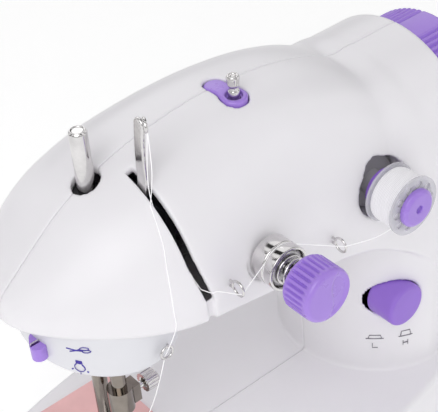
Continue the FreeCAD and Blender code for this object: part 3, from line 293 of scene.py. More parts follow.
# ---- body shells as a distance field ----
# Fields are negative inside a form and grow with the distance from its surface.
WALL = 2.2
NOSE_WALL, NOSE_WALL_START, NOSE_WALL_RUN = 2.4, -30.0, 30.0
HOUSING_LEFT, HOUSING_RIGHT, HOUSING_R = 39.0, 69.3, 36.2
COLUMN_X, COLUMN_R, COLUMN_SPLIT = 58.5, 36.2, 52.0
COLUMN_RIGHT, COLUMN_HALF, COLUMN_CORNER = 70.0, 35.6, 18.0
COLUMN_BOTTOM, COLUMN_TOP = 46.0, 138.0
BASE_LEFT, BASE_RIGHT, BASE_BOTTOM, BASE_TOP = -98.0, 92.0, 4.0, 56.0
BASE_ARC_X, BASE_ARC_R, FRONT_ARC_Y, REAR_ARC_Y = -12.0, 250.0, 199.0, -196.0
CASE_SCREWS = [(-74, 157), (2, 172), (44, 165), (64.2, 70), (84, 32), (-90, 32)]   # (x, z)
CASE_HEAD_Y, CASE_HEAD_R, CASE_POST_R = 14.0, 3.0, 4.4
SLOT_X, SLOT_HALF, SLOT_FOOT = -47.75, 1.3, 147.6
SLOT_TOP_Y, SLOT_BEND_Z, SLOT_LEAN = -8.0, 161.0, 2.4
SPINDLE_X, SPINDLE_Z, KEYHOLE_R = 29.5, 145.3, 10.2
KEYHOLE_LOBE_X, KEYHOLE_LOBE_Z, KEYHOLE_LOBE_R = 27.4, 152.4, 4.6
TENSION_X, TENSION_Z, TENSION_SEAT_R, STUD_HOLE_R = -21.7, 150.0, 8.2, 2.3
TENSION_SEAT_Y = (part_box("tension_discs")[1].y - LAYOUT_ORIGIN.y / 1000) * 1000 + 0.1
SPEED_X, SPEED_Z, SPEED_R = 39.0, 90.0, 8.35
POWER_Y, POWER_Z, POWER_R = -9.0, 84.0, 5.7
SOCKET_X, SOCKET_R = -57.6, 4.5
WINDER_X, WINDER_Y, WINDER_TAIL_X, WINDER_TAIL_Y = -7.4, -7.7, -7.9, 1.2
SKIRT_X, SKIRT_A, SKIRT_B, SKIRT_TOP = -62.0, 22.8, 30.0, 146.0
SKIRT_COVER = 0.9          # how far the arm's wall covers the top of the skirt's wall
BED_OPENING = ((-79, -41), (-23, 37), (50, 60))
PLATE_RECESS = ((-82, -38), (-26, 7.75), (54.6, 60))
NOSE_X, NOSE_Z = -93.2, 147.6
RIDGE = [(NOSE_X, NOSE_Z), (-91.8, 153.3), (-86, 158.8), (-78.4, 165), (-67, 173.4), (-57.6, 178),
         (-40, 183.6), (-13, 186.9), (10, 185.3), (27, 181.1), (39, 175.5), (52, 167), (HOUSING_RIGHT, 152)]
RIM = [(NOSE_X, NOSE_Z), (-87, 145.5), (-77, 144), (-60, 142), (-44, 141), (-33, 138.5), (-20, 134.6),
       (-8, 130.8), (9, 127), (19, 124.2), (27, 121), (36, 115.5), (45, 109), (57, 97), (HOUSING_RIGHT, 84)]
FRONT_DEPTH = [(NOSE_X, 0), (-87.5, 13.7), (-76.5, 24.5), (-63, 33.2), (-48, 38.6), (-33, 38.2),
               (-8, 35), (9, 34), (28, 34), (45, 35), (57, 36.8), (HOUSING_RIGHT, 37.2)]
REAR_DEPTH = [(NOSE_X, 0), (-87.5, 17.5), (-76.5, 30), (-63, 36), (-48, 37.8), (-20, 37.9),
              (10, 37.9), (40, 37.8), (57, 37.5), (HOUSING_RIGHT, 37.2)]
FRONT_FULLNESS = [(NOSE_X, 2.1), (-48, 2.05), (-20, 2.2), (28, 2.9), (HOUSING_RIGHT, 2.9)]
REAR_FULLNESS = 2.6
SIDE_HALF, SIDE_CORNER = 38.0, 18.0
BELLY = [(NOSE_X, 0), (-80, 6), (-60, 10), (-20, 7), (10, 4), (45, 2), (HOUSING_RIGHT, 1)]
CURVE_STEPS = np.linspace(0, sqrt(HOUSING_RIGHT - NOSE_X), 500)


def table(points):
    """The smooth curve through (x, value) points, sampled closely; rounds the nose like the CAD."""
    s = [sqrt(max(x - NOSE_X, 0)) for x, _ in points]
    v = [value for _, value in points]

    def slope(k):
        low, high = max(k - 1, 0), min(k + 1, len(s) - 1)
        return (v[high] - v[low]) / (s[high] - s[low])
    values = []
    for u in CURVE_STEPS:
        i = min(max(int(np.searchsorted(s, u)) - 1, 0), len(s) - 2)
        h = s[i + 1] - s[i]
        t = (u - s[i]) / h
        values.append((1 + 2 * t) * (1 - t) ** 2 * v[i] + t * (1 - t) ** 2 * h * slope(i)
                      + t * t * (3 - 2 * t) * v[i + 1] + t * t * (t - 1) * h * slope(i + 1))
    return np.array(values, np.float32)


TABLES = {name: table(points) for name, points in (
    ("ridge", RIDGE), ("rim", RIM), ("front", FRONT_DEPTH), ("rear", REAR_DEPTH),
    ("fullness", FRONT_FULLNESS), ("belly", BELLY))}


def along(name, x):
    """Value of one of the arm's curves at X."""
    return np.interp(np.sqrt(np.maximum(x - NOSE_X, 0)), CURVE_STEPS, TABLES[name]).astype(np.float32)


def both(a, b, r):
    """Inside both forms, with the edge between them rounded to radius r."""
    return np.minimum(np.maximum(a, b), -r) + np.hypot(np.maximum(a + r, 0), np.maximum(b + r, 0))


def either(a, b, r):
    """Inside either form, with a fillet of radius r between them."""
    return -both(-a, -b, r)


def cut(a, b, r):
    """Form a with form b taken away and the new edge rounded to radius r."""
    return both(a, -b, r)


def slab(value, low, high):
    return np.maximum(low - value, value - high)


def block(x, y, z, sides):
    """Box between pairs of X, Y and Z."""
    return np.maximum(np.maximum(slab(x, *sides[0]), slab(y, *sides[1])), slab(z, *sides[2]))


def box_outline(x, y, right, half, corner):
    """Right end of a rectangle with rounded corners, seen from above."""
    qx, qy = x - right + corner, np.abs(y) - half + corner
    return np.hypot(np.maximum(qx, 0), np.maximum(qy, 0)) + np.minimum(np.maximum(qx, qy), 0) - corner


def arm_field(x, y, z, inset):
    """The arm: fuller than an ellipse above its rim, with a shallow belly under it."""
    ridge, rim = along("ridge", x) - inset, along("rim", x) + inset
    front = y < 0
    depth = np.maximum(np.where(front, along("front", x), along("rear", x)) - inset, 0.2)
    fullness = np.where(front, along("fullness", x), REAR_FULLNESS)
    height = np.maximum(ridge - rim, 0.4)
    up = np.maximum(z - rim, 0)
    share = ((np.abs(y) / depth) ** fullness + (up / height) ** fullness) ** (1 / fullness)
    reach = np.hypot(y, up)
    side = reach * (1 - 1 / np.maximum(share, 0.02))
    belly = along("belly", x) * (1 - np.minimum(y / depth, 1) ** 2)
    under = rim - belly - z
    form = both(side, under, 1.3)
    form = np.maximum(form, NOSE_X + 1.6 * inset - x)
    half = SIDE_HALF - inset + np.maximum(50 - x, 0)
    end = box_outline(x, y, HOUSING_RIGHT - inset, half, SIDE_CORNER - inset)
    return both(form, end, 1.0)


def housing_field(x, y, z, inset):
    """Round housing behind the handwheel, along the main shaft."""
    radial = np.hypot(y, z - SHAFT_Z) - (HOUSING_R - inset)
    form = both(radial, HOUSING_LEFT + inset - x, 9.0)
    return both(form, x - HOUSING_RIGHT + inset, 1.5 if not inset else 0.1)


def column_field(x, y, z, inset):
    """Column: round towards the needle, square with rounded corners towards the handwheel."""
    round_side = np.hypot(x - COLUMN_X, y) - (COLUMN_R - inset)
    square_side = box_outline(x, y, COLUMN_RIGHT - inset, COLUMN_HALF - inset, COLUMN_CORNER - inset)
    side = np.where(x < COLUMN_SPLIT, round_side, square_side)
    return np.maximum(np.maximum(side, z - COLUMN_TOP), COLUMN_BOTTOM - z)


def base_field(x, y, z, inset, bottom, top):
    """Base with bowed long sides and rounded corners."""
    r = BASE_ARC_R - inset
    front = np.hypot(x - BASE_ARC_X, y - FRONT_ARC_Y) - r
    rear = np.hypot(x - BASE_ARC_X, y - REAR_ARC_Y) - r
    ends = np.maximum(BASE_LEFT + inset - x, x - BASE_RIGHT + inset)
    side = both(np.maximum(front, rear), ends, 20.0 - inset)
    return np.maximum(both(side, z - top, 2.0 if not inset else 0.1), bottom - z)


def body_field(x, y, z):
    """The whole hollow body, with a thicker wall towards the nose."""
    outer = either(arm_field(x, y, z, 0), housing_field(x, y, z, 0), 7.0)
    outer = either(outer, column_field(x, y, z, 0), 1.2)
    outer = either(outer, base_field(x, y, z, 0, BASE_BOTTOM, BASE_TOP), 1.4)
    nose_wall = NOSE_WALL * np.clip((NOSE_WALL_START - x) / NOSE_WALL_RUN, 0, 1)
    inner = np.minimum(arm_field(x - nose_wall, y, z, WALL), housing_field(x, y, z, WALL))
    inner = np.minimum(inner, column_field(x, y, z, WALL))
    inner = np.minimum(inner, base_field(x, y, z, WALL, BASE_BOTTOM - 1, BASE_TOP - WALL))
    shell = cut(outer, inner, 0.3)
    shell = add_screw_posts(shell, outer, x, y, z)
    return cut_openings(shell, outer, x, y, z)


def add_screw_posts(shell, outer, x, y, z):
    """Hollow posts of the rear half: the case screws sit at the bottom of deep round recesses."""
    for screw_x, screw_z in CASE_SCREWS:
        radial = np.hypot(x - screw_x, z - screw_z)
        post = np.maximum(np.maximum(radial - CASE_POST_R, -y), outer + 0.3)
        recess = np.maximum(radial - CASE_HEAD_R, CASE_HEAD_Y - y)
        shell = cut(np.minimum(shell, post), recess, 0.4)
    return shell


def keyhole_outline(x, z):
    """Opening around the bobbin spindle: a circle with a small lobe above it."""
    main = np.hypot(x - SPINDLE_X, z - SPINDLE_Z) - KEYHOLE_R
    lobe = np.hypot(x - KEYHOLE_LOBE_X, z - KEYHOLE_LOBE_Z) - KEYHOLE_LOBE_R
    return either(main, lobe, 1.2)


def winder_outline(x, y):
    """Teardrop around the winder spindle with a pulled-in left flank."""
    pin = np.hypot(x - WINDER_X, y - WINDER_Y) - 4.2
    tail = np.hypot(x - WINDER_TAIL_X, y - WINDER_TAIL_Y) - 3.2
    return either(pin, tail, 6.0)


def slot_middle(z):
    """The lever's slot runs straight up the front and leans to the right near its foot."""
    return SLOT_X + SLOT_LEAN * np.clip((SLOT_BEND_Z - z) / 13, 0, 1) ** 1.3


def cut_openings(shell, outer, x, y, z):
    """Cuts every opening, and adds the collar that lines the keyhole."""
    slot_x = slab(x - slot_middle(z), -SLOT_HALF, SLOT_HALF)
    slot = np.maximum(slot_x, np.maximum(y - SLOT_TOP_Y, SLOT_FOOT - z))
    groove = np.maximum(slot_x, np.maximum(-1.2 - outer, z - SLOT_FOOT - 1))
    groove = np.maximum(groove, y + 20)
    keyhole = keyhole_outline(x, z)
    collar = np.maximum(np.maximum(np.abs(keyhole - 0.8) - 0.8, slab(y, -36, -22)), outer + 0.4)
    shell = np.minimum(shell, collar)
    keyhole = np.maximum(keyhole, y + 21)
    tension = np.hypot(x - TENSION_X, z - TENSION_Z)
    seat = np.maximum(tension - TENSION_SEAT_R, y - TENSION_SEAT_Y)
    stud = np.maximum(tension - STUD_HOLE_R, y + 20)
    speed = np.maximum(np.hypot(x - SPEED_X, z - SPEED_Z) - SPEED_R, y + 10)
    power = np.maximum(np.hypot(y - POWER_Y, z - POWER_Z) - POWER_R, 60 - x)
    pin = np.maximum(np.hypot(x - SOCKET_X, y) - SOCKET_R, 165 - z)
    winder = np.maximum(winder_outline(x, y) - 0.3, 175 - z)
    oval = (np.sqrt(((x - SKIRT_X) / SKIRT_A) ** 2 + (y / SKIRT_B) ** 2) - 1) * 24 + SKIRT_COVER
    inside_wall = np.maximum(z - SKIRT_TOP - 0.5, outer + 1.4)
    skirt = np.maximum(oval, np.minimum(z - along("rim", x) - 0.6, inside_wall))
    shaft = np.maximum(np.hypot(y, z - SHAFT_Z) - 6, 60 - x)
    bed, plate = block(x, y, z, BED_OPENING), block(x, y, z, PLATE_RECESS)
    for opening, radius in ((slot, 0.35), (groove, 0.3), (keyhole, 0.5), (seat, 0.25), (stud, 0.2),
                            (speed, 0.3), (power, 0.5), (pin, 0.5), (winder, 0.3), (skirt, 0.3),
                            (shaft, 0.3), (bed, 0.3), (plate, 0.3)):
        shell = cut(shell, opening, radius)
    return shell


# ---- meshing ----
def surface_nets(field, low, high, step):
    """Quad mesh of the zero level of a field, one point in each cell that the surface crosses."""
    axes = [np.arange(low[i], high[i] + step, step, dtype=np.float32) for i in range(3)]
    shape = [len(a) for a in axes]
    values = np.empty(shape, np.float32)
    rows = 24
    for start in range(0, shape[0], rows):
        x, y, z = np.meshgrid(axes[0][start:start + rows], axes[1], axes[2], indexing="ij")
        values[start:start + rows] = field(x, y, z)
    inside = values < 0
    corners = [(a, b, c) for a in (0, 1) for b in (0, 1) for c in (0, 1)]

    def shifted(grid, offset):
        return grid[offset[0]:shape[0] - 1 + offset[0], offset[1]:shape[1] - 1 + offset[1],
                    offset[2]:shape[2] - 1 + offset[2]]

    count = sum(shifted(inside, c).astype(np.int8) for c in corners)
    cells = np.argwhere((count > 0) & (count < 8))
    index = np.full(count.shape, -1, np.int32)
    index[tuple(cells.T)] = np.arange(len(cells))
    at = {c: values[tuple((cells + c).T)] for c in corners}
    total, crossings = np.zeros((len(cells), 3)), np.zeros(len(cells))
    for axis in range(3):
        for c in corners:
            if c[axis]:
                continue
            end = tuple(1 if i == axis else c[i] for i in range(3))
            a, b = at[c], at[end]
            crossed = (a < 0) != (b < 0)
            share = np.where(crossed, a / np.where(crossed, a - b, 1), 0)
            for i in range(3):
                total[:, i] += np.where(crossed, c[i] + (share if i == axis else 0), 0)
            crossings += crossed
    points = (cells + total / crossings[:, None]) * step + np.array(low)
    faces = []
    for axis in range(3):
        u, v = (axis + 1) % 3, (axis + 2) % 3
        first = [slice(1, n - 1) for n in shape]
        second = list(first)
        first[axis], second[axis] = slice(0, shape[axis] - 1), slice(1, shape[axis])
        a, b = inside[tuple(first)], inside[tuple(second)]
        for flip, mask in ((False, a & ~b), (True, ~a & b)):
            edge = np.argwhere(mask)
            edge[:, u] += 1
            edge[:, v] += 1
            quad = []
            for du, dv in ((1, 1), (0, 1), (0, 0), (1, 0)):
                cell = edge.copy()
                cell[:, u] -= du
                cell[:, v] -= dv
                quad.append(index[tuple(cell.T)])
            faces.append(np.array(quad[::-1] if flip else quad).T)
    return points, np.concatenate(faces)


STEP = 0.6
BODY_LOW, BODY_HIGH = (BASE_LEFT, -51.0, BASE_BOTTOM), (BASE_RIGHT, 54.0, 187.5)


def body_half(name, node, side):
    """One half of the body, split at Y = 0 with softened edges that show as the seam."""
    def field(x, y, z):
        return both(body_field(x, y, z), side * -y + 0.05, 0.22)
    low = [value - 2 * STEP for value in BODY_LOW]
    high = [value + 2 * STEP for value in BODY_HIGH]
    if side < 0:
        high[1] = 2.5 * STEP
    else:
        low[1] = -1.5 * STEP
    low[1] = (round(low[1] / STEP) - 0.5) * STEP
    points, faces = surface_nets(field, low, high, STEP)
    return piece(name, points, faces, WHITE, node)


body_half("front_body_half", "front_shell", -1)
body_half("rear_body_half", "rear_shell", 1)


BODY = body_of(frame["nodes"]["front_shell"])[0]
LEVER_BODY = body_of(frame["nodes"]["take_up_lever"])[0]
NEEDLE_BODY = body_of(frame["nodes"]["needle"])[0]
PRESSER_BODY = body_of(frame["nodes"]["presser_bar"])[0]


# ---- turned, swept and modelled pieces ----
def rounded(profile, radius, steps=4):
    """Profile of (radius, distance) points with its corners rounded."""
    result = [profile[0]]
    for before, corner, after in zip(profile, profile[1:], profile[2:]):
        a, c, b = Vector(before), Vector(corner), Vector(after)
        reach = min(radius, (a - c).length * 0.45, (b - c).length * 0.45)
        start, end = c + (a - c).normalized() * reach, c + (b - c).normalized() * reach
        for i in range(steps + 1):
            t = i / steps
            result.append(tuple(start * (1 - t) ** 2 + c * 2 * t * (1 - t) + end * t ** 2))
    result.append(profile[-1])
    return result


def clean(thing, sharp=38):
    """Joins points that coincide, such as those on a turned piece's axis, and faces it outward."""
    shape = bmesh.new()
    shape.from_mesh(thing.data)
    bmesh.ops.remove_doubles(shape, verts=shape.verts, dist=2e-6)
    bmesh.ops.dissolve_degenerate(shape, edges=shape.edges, dist=1e-7)
    bmesh.ops.recalc_face_normals(shape, faces=shape.faces)
    shape.to_mesh(thing.data)
    shape.free()
    thing.data.shade_smooth()
    thing.data.set_sharp_from_angle(angle=radians(sharp))


def ring_faces(count, rows, closed):
    """Quads between neighbouring copies, round a ring, of a profile with so many points."""
    faces = []
    for i in range(count):
        j = (i + 1) % count
        for k in range(rows if closed else rows - 1):
            m = (k + 1) % rows
            faces.append((i * rows + k, j * rows + k, j * rows + m, i * rows + m))
    return faces


def lathe(name, profile, place, axis, material, node, count=72, ripple=None, closed=False,
          stands_for=True):
    """Turned piece; ripple(angle, radius, distance) may move a point in or out and along the axis."""
    turn = Vector((0, 0, 1)).rotation_difference(Vector(axis)).to_matrix()
    points = []
    for i in range(count):
        angle = 2 * pi * i / count
        for r, d in profile:
            if ripple:
                r, d = ripple(angle, r, d)
            points.append(turn @ Vector((r * cos(angle), r * sin(angle), d)) + Vector(place))
    faces = ring_faces(count, len(profile), closed)
    thing = piece(name, points, faces, material, node, stands_for=stands_for)
    clean(thing)
    return thing


def tube(name, path, radius, material, node, sides=10, closed=False, stands_for=False, flat=1.0):
    """Round wire along a path in layout millimetres; flat < 1 presses it like a ribbon."""
    path = [Vector(p) for p in path]
    count = len(path)
    points, faces = [], []
    normal = None
    for i, p in enumerate(path):
        ahead = path[(i + 1) % count] if closed or i < count - 1 else p
        behind = path[i - 1] if closed or i > 0 else p
        tangent = (ahead - behind).normalized()
        if normal is None:
            normal = tangent.orthogonal()
        normal = (normal - tangent * normal.dot(tangent)).normalized()
        across = tangent.cross(normal)
        for k in range(sides):
            a = 2 * pi * k / sides
            points.append(p + radius * (normal * cos(a) + across * sin(a) * flat))
    for i in range(count if closed else count - 1):
        j = (i + 1) % count
        for k in range(sides):
            m = (k + 1) % sides
            faces.append((i * sides + k, i * sides + m, j * sides + m, j * sides + k))
    if not closed:
        faces.append(tuple(range(sides))[::-1])
        faces.append(tuple((count - 1) * sides + k for k in range(sides)))
    thing = piece(name, points, faces, material, node, stands_for=stands_for)
    clean(thing, 50)
    return thing


def smooth_path(points, per=8):
    """Catmull-Rom curve through points."""
    pts = [Vector(p) for p in points]
    path = []
    for i in range(len(pts) - 1):
        p0, p1, p2 = pts[max(i - 1, 0)], pts[i], pts[i + 1]
        p3 = pts[min(i + 2, len(pts) - 1)]
        for k in range(per):
            t = k / per
            path.append(0.5 * (2 * p1 + (p2 - p0) * t + (2 * p0 - 5 * p1 + 4 * p2 - p3) * t ** 2
                               + (3 * p1 - p0 - 3 * p2 + p3) * t ** 3))
    path.append(pts[-1])
    return path


def modelled(name, field, low, high, step, material, node, stands_for=True):
    """A piece from a distance field."""
    points, faces = surface_nets(field, low, high, step)
    return piece(name, points, faces, material, node, stands_for=stands_for)


def coil(name, place, axis, radius, wire, turns, height, material, node):
    """Coil spring with flat closed ends."""
    turn = Vector((0, 0, 1)).rotation_difference(Vector(axis)).to_matrix()
    path = []
    steps = 28 * turns
    for i in range(steps + 1):
        t = i / steps
        rise = min(max((t * turns - 0.7) / (turns - 1.4), 0), 1)
        a = 2 * pi * turns * t
        path.append(turn @ Vector((radius * cos(a), radius * sin(a), wire + (height - 2 * wire) * rise))
                    + Vector(place))
    return tube(name, path, wire, material, node, sides=10, stands_for=True)


# ---- handwheel ----
def make_handwheel():
    """Rounded wheel with groups of ten finger grooves round its edge."""
    low, high = span("handwheel")
    width, r = high.x - low.x, (high.z - low.z) / 2
    groups, grooves, pitch, start = 6, 10, radians(4.3), radians(33.2)
    period = 2 * pi / groups

    def ripple(angle, radius, d):
        inside = (angle - start + period / 2) % period - period / 2
        if abs(inside) > grooves * pitch / 2 or radius < r - 4.5:
            return radius, d
        depth = (0.5 - 0.5 * cos(2 * pi * inside / pitch)) ** 1.4
        return radius - 1.1 * depth * min(1, (radius - r + 4.5) / 3), d
    profile = rounded([(3.0, 0.0), (r - 1.2, 0.0), (r, 1.2), (r, width - 1.5), (r - 1.4, width - 0.2),
                       (r - 6, width - 0.2), (r - 8, width - 3), (14, width - 4.5), (10, width - 1.2),
                       (3.0, width - 1.2)], 0.8)
    lathe("handwheel_looks", profile, (low.x, 0, SHAFT_Z), (1, 0, 0), PURPLE, "handwheel",
          count=groups * 126, ripple=ripple)


# ---- tension unit ----
DISC_R, DISC_GAP = 7.3, 5.6
KNOB_TRIM, KNOB_GROOVES, KNOB_GROOVE_DEPTH, KNOB_GROOVE_END = 0.45, 29, 0.855, 2.2
RIDGE_LEAN, RIDGE_STEP = radians(16), 0.55


def make_knob():
    low, high = span("tension_knob")
    x, z = centre("tension_knob").x, centre("tension_knob").z
    length, r = high.y - low.y, (high.x - low.x) / 2 - KNOB_TRIM

    def ripple(angle, radius, d):
        """Grooves round the side, and a step along a flat S across the face."""
        groove_end = length - KNOB_GROOVE_END
        if 0.5 < d < groove_end and radius > r - 1:
            ends = min(1, (d - 0.5) / 0.8, (groove_end - d) / 0.8)
            radius -= KNOB_GROOVE_DEPTH * ends * max(cos(angle * KNOB_GROOVES), 0.0) ** 0.8
        if d > length - 0.3 and radius < r - 1.0:
            turned = angle + RIDGE_LEAN
            beside = radius * cos(turned) - 1.6 + 1.1 * sin(radius * sin(turned) * 0.4)
            d -= RIDGE_STEP / (1 + exp(-6 * beside)) * min(1, (r - 1.0 - radius) / 1.2)
        return radius, d
    side = [(r, 0.9 + (length - 3.4) * i / 12) for i in range(13)]
    face = [(r - 1.3 - (r - 1.3) * i / 14, length) for i in range(15)]
    back = [(2.4, 0.8), (r - 1.6, 0.8), (r - 1.2, 0), (r - 0.5, 0)]
    shoulder = [(r, length - 1.6), (r - 0.15, length - 0.9), (r - 0.6, length - 0.25)]
    lathe("tension_knob_looks", back + side + shoulder + face, (x, high.y, z), (0, -1, 0), PURPLE,
          "tension_knob", count=KNOB_GROOVES * 14, ripple=ripple)


def make_tension_discs():
    """Two discs with the thread's gap between them, a washer and the spring in front of them."""
    x, z = centre("tension_knob").x, centre("tension_knob").z
    front = TENSION_SEAT_Y - 0.1
    r, gap = DISC_R, DISC_GAP
    seat = rounded([(2.4, 0.0), (r, 0.0), (r, gap - 0.3), (r - 1.1, gap - 0.2), (r - 1.6, gap - 1.4),
                    (2.4, gap - 1.4)], 0.5)
    lathe("tension_disc_rear", seat, (x, front, z), (0, -1, 0), CHROME, "tension_discs", closed=True)
    cup = rounded([(2.4, gap + 0.8), (r - 1.6, gap + 0.8), (r - 1.0, gap + 0.1), (r, gap + 0.2),
                   (r, gap + 3.6), (r - 0.8, gap + 3.7), (r - 1.2, gap + 2.0), (2.4, gap + 1.8)], 0.4)
    lathe("tension_disc_front", cup, (x, front, z), (0, -1, 0), CHROME, "tension_discs", closed=True,
          stands_for=False)
    washer = rounded([(2.3, gap + 2.0), (5.9, gap + 2.0), (5.9, gap + 2.7), (5.2, gap + 3.2),
                      (2.3, gap + 3.2)], 0.25)
    lathe("tension_washer_looks", washer, (x, front, z), (0, -1, 0), STEEL, "tension_washer", closed=True)
    spring_front = span("tension_spring")[0].y
    spring_rear = front - gap - 3.2
    coil("tension_spring_coil", (x, spring_rear, z), (0, -1, 0), 4.5, 0.5, 3,
         spring_rear - spring_front, CHROME, "tension_spring")


# ---- winder, spool pin, buttons ----
def make_winder_seat():
    low, high = span("winder_seat")
    top = high.z

    def field(x, y, z):
        rim = winder_outline(x, y)
        hole = np.hypot(x - centre("winder_spindle").x, y - centre("winder_spindle").y)
        crown = top - 0.02 * (x - WINDER_X) ** 2 - 0.012 * (y + 4) ** 2
        form = both(rim, z - crown, 0.7)
        dish = np.maximum(hole - 2.7, top - 1.6 - z)
        form = cut(form, dish, 0.25)
        return np.maximum(cut(form, hole - 2.05, 0.1), low.z - z)
    modelled("winder_seat_looks", field, (-13.5, -14, low.z - 0.6), (-2, 7, top + 0.6), 0.28, PURPLE,
             "winder_seat")


def make_winder_spindle():
    """Stepped spindle whose flared head is split into four fingers."""
    bottom, c = span("winder_spindle")[0].z, centre("winder_spindle")
    profile = rounded([(0, 0), (3, 0), (3, 1.5), (1.8, 1.5), (1.8, 14.0), (1.45, 14.5), (1.45, 15.4),
                       (1.8, 15.9), (2.1, 18.6), (1.8, 19.3), (1.2, 19.3), (0.9, 18.9), (0, 18.9)], 0.3)
    splits, split_start = 4, 16.2

    def ripple(angle, radius, d):
        if d > split_start and radius > 1.0:
            radius -= 0.55 * min(1, (d - split_start) / 0.5) * max(cos(angle * splits), 0) ** 30
        return radius, d
    waist = [p for p in profile if p[1] < 15.9]
    stem = [(1.8 + 0.3 * i / 8, 15.9 + 0.34 * i) for i in range(1, 8)]
    profile = waist + stem + [p for p in profile if p[1] > 18.4]
    lathe("winder_spindle_looks", profile, (c.x, c.y, bottom), (0, 0, 1), CHROME, "winder_spindle",
          count=96, ripple=ripple)


def make_spool_pin():
    low, high = span("spool_pin")
    c, length = centre("spool_pin"), high.z - low.z
    r = (high.x - low.x) / 2
    profile = rounded([(0, 0), (r - 0.4, 0), (r, 0.5), (r, length - 0.7), (r - 0.5, length),
                       (r - 0.8, length), (r - 1.1, length - 0.3), (0, length - 0.3)], 0.3)
    lathe("spool_pin_looks", profile, (c.x, c.y, low.z), (0, 0, 1), CHROME, "spool_pin", count=64)


def make_speed_button():
    low, high = span("speed_button")
    c, r = centre("speed_button"), (high.x - low.x) / 2
    length = 12.0
    profile = rounded([(0, 0), (r, 0), (r, length), (0, length)], 1.6, 8)
    lathe("speed_button_looks", profile, (c.x, low.y + length, c.z), (0, -1, 0), PURPLE_SOFT,
          "speed_button", count=96)


# ---- take-up lever ----
LEVER_X, LEVER_HUB_Z, LEVER_HALF = -48.0, 156.0, 0.6
LEVER_LINE = [(0.2, 156.0, 2.8), (-5.6, 164.0, 2.5), (-12.0, 172.5, 2.3), (-14.8, 179.0, 2.15),
              (-15.3, 188.0, 2.05), (-16.2, 196.0, 2.0), (-17.0, 200.6, 2.2)]   # (y, z, half width)
EYELET_Y, EYELET_Z, EYELET_R, EYELET_WIRE, EYELET_LEAN = -19.7, 201.7, 1.7, 0.62, 0.9


def make_take_up():
    """Flat lever that narrows upward and ends in a wire eyelet for the thread."""
    path = smooth_path([(r, y, z) for y, z, r in LEVER_LINE], 6)

    def field(x, y, z):
        strip = np.full(x.shape, 99.0, np.float32)
        for a, b in zip(path, path[1:]):
            dy, dz = b.y - a.y, b.z - a.z
            t = np.clip(((y - a.y) * dy + (z - a.z) * dz) / (dy * dy + dz * dz), 0, 1)
            r = a.x + (b.x - a.x) * t
            strip = np.minimum(strip, np.hypot(y - a.y - t * dy, z - a.z - t * dz) - r)
        form = both(strip, np.abs(x - LEVER_X) - LEVER_HALF, 0.25)
        hub = both(np.hypot(y, z - LEVER_HUB_Z) - 3.1, np.abs(x - LEVER_X) - LEVER_HALF, 0.2)
        return np.minimum(form, hub)
    modelled("take_up_lever_looks", field, (LEVER_X - 1.5, -22, 151), (LEVER_X + 1.5, 5, 205), 0.3, CHROME,
             "take_up_lever")
    ring = [(LEVER_X + EYELET_LEAN * cos(a), EYELET_Y + EYELET_R * cos(a), EYELET_Z + EYELET_R * sin(a))
            for a in [2 * pi * i / 28 for i in range(28)]]
    tube("take_up_eyelet", ring, EYELET_WIRE, CHROME, "take_up_lever", closed=True)


# ---- skirt under the head ----
def skirt_point(angle, z, out=0.0):
    """Point on the skirt's oval wall."""
    across = Vector((cos(angle) * SKIRT_B, sin(angle) * SKIRT_A, 0)).normalized()
    return Vector((SKIRT_X + SKIRT_A * cos(angle), SKIRT_B * sin(angle), z)) + across * out


def make_skirt():
    low, high = span("head_skirt")
    bottom, height = low.z, high.z - low.z
    floor, wall, ledge = 1.6, 1.8, 9.0
    profile = rounded([(-ledge, floor), (-ledge, 0.0), (0.0, 0.0), (0.0, height), (-wall, height),
                       (-wall, floor)], 1.8, 8)
    count = 160
    points = [skirt_point(2 * pi * i / count, bottom + rise, out)
              for i in range(count) for out, rise in profile]
    faces = ring_faces(count, len(profile), True)
    clean(piece("head_skirt_looks", points, faces, PALE, "head_skirt"))


# ---- bobbin on the front ----
def make_bobbin_cap():
    low, high = span("top_bobbin")
    cap_low, cap_high = span("bobbin_cap")
    thick = cap_high.y - cap_low.y
    face = rounded([(0, thick - 1.2), (1.35, thick - 1.2), (1.35, thick), (5.4, thick),
                    (6.5, thick - 0.9), (6.5, 0.1), (2.9, 0.1)], 0.45, 5)
    lathe("bobbin_cap_looks", face, (SPINDLE_X, low.y, SPINDLE_Z), (0, -1, 0), PURPLE, "bobbin_cap",
          count=96)
    collar = rounded([(4.6, 0), (6.9, 0), (6.9, 1.6), (4.6, 1.6)], 0.3)
    lathe("spindle_collar", collar, (SPINDLE_X, high.y + 3.4, SPINDLE_Z), (0, -1, 0), PURPLE_SOFT,
          "spool_spindle", closed=True, stands_for=False)


def make_thread_roll():
    """Wound thread with a fine ridge for each turn."""
    roll_low, roll_high = span("bobbin_thread")
    width, core = roll_high.y - roll_low.y, 4.3
    wind = (roll_high.x - roll_low.x) / 2
    turns = 46

    def ripple(angle, radius, d):
        if radius > core + 0.5:
            radius += 0.07 * cos(2 * pi * turns * d / width + angle)
        return radius, d
    steps, gap = turns * 5, 0.05
    side = [(wind - 0.5 * abs(2 * i / steps - 1) ** 6, gap + (width - 2 * gap) * i / steps)
            for i in range(steps + 1)]
    lathe("thread_roll", [(core, gap)] + side + [(core, width - gap)], (SPINDLE_X, roll_low.y, SPINDLE_Z),
          (0, 1, 0), THREAD, "bobbin_thread", ripple=ripple, closed=True)


# ---- presser spring ----
def make_presser_spring():
    """Coil that shortens when the presser bar rises: its foot follows the bar, its top stays."""
    low, high = span("presser_spring")
    middle = centre("presser_spring")
    radius = (high.x - low.x) / 2 - 0.45
    spring = coil("presser_spring_coil", (middle.x, middle.y, low.z), (0, 0, 1), radius, 0.42, 5,
                  high.z - low.z, STEEL, None)
    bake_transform(spring, PRESSER_BODY, BODY, mm(middle.x, middle.y, low.z), mm(middle.x, middle.y, high.z))
    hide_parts("presser_spring")


# ---- thread path ----
THREAD_R = 0.13


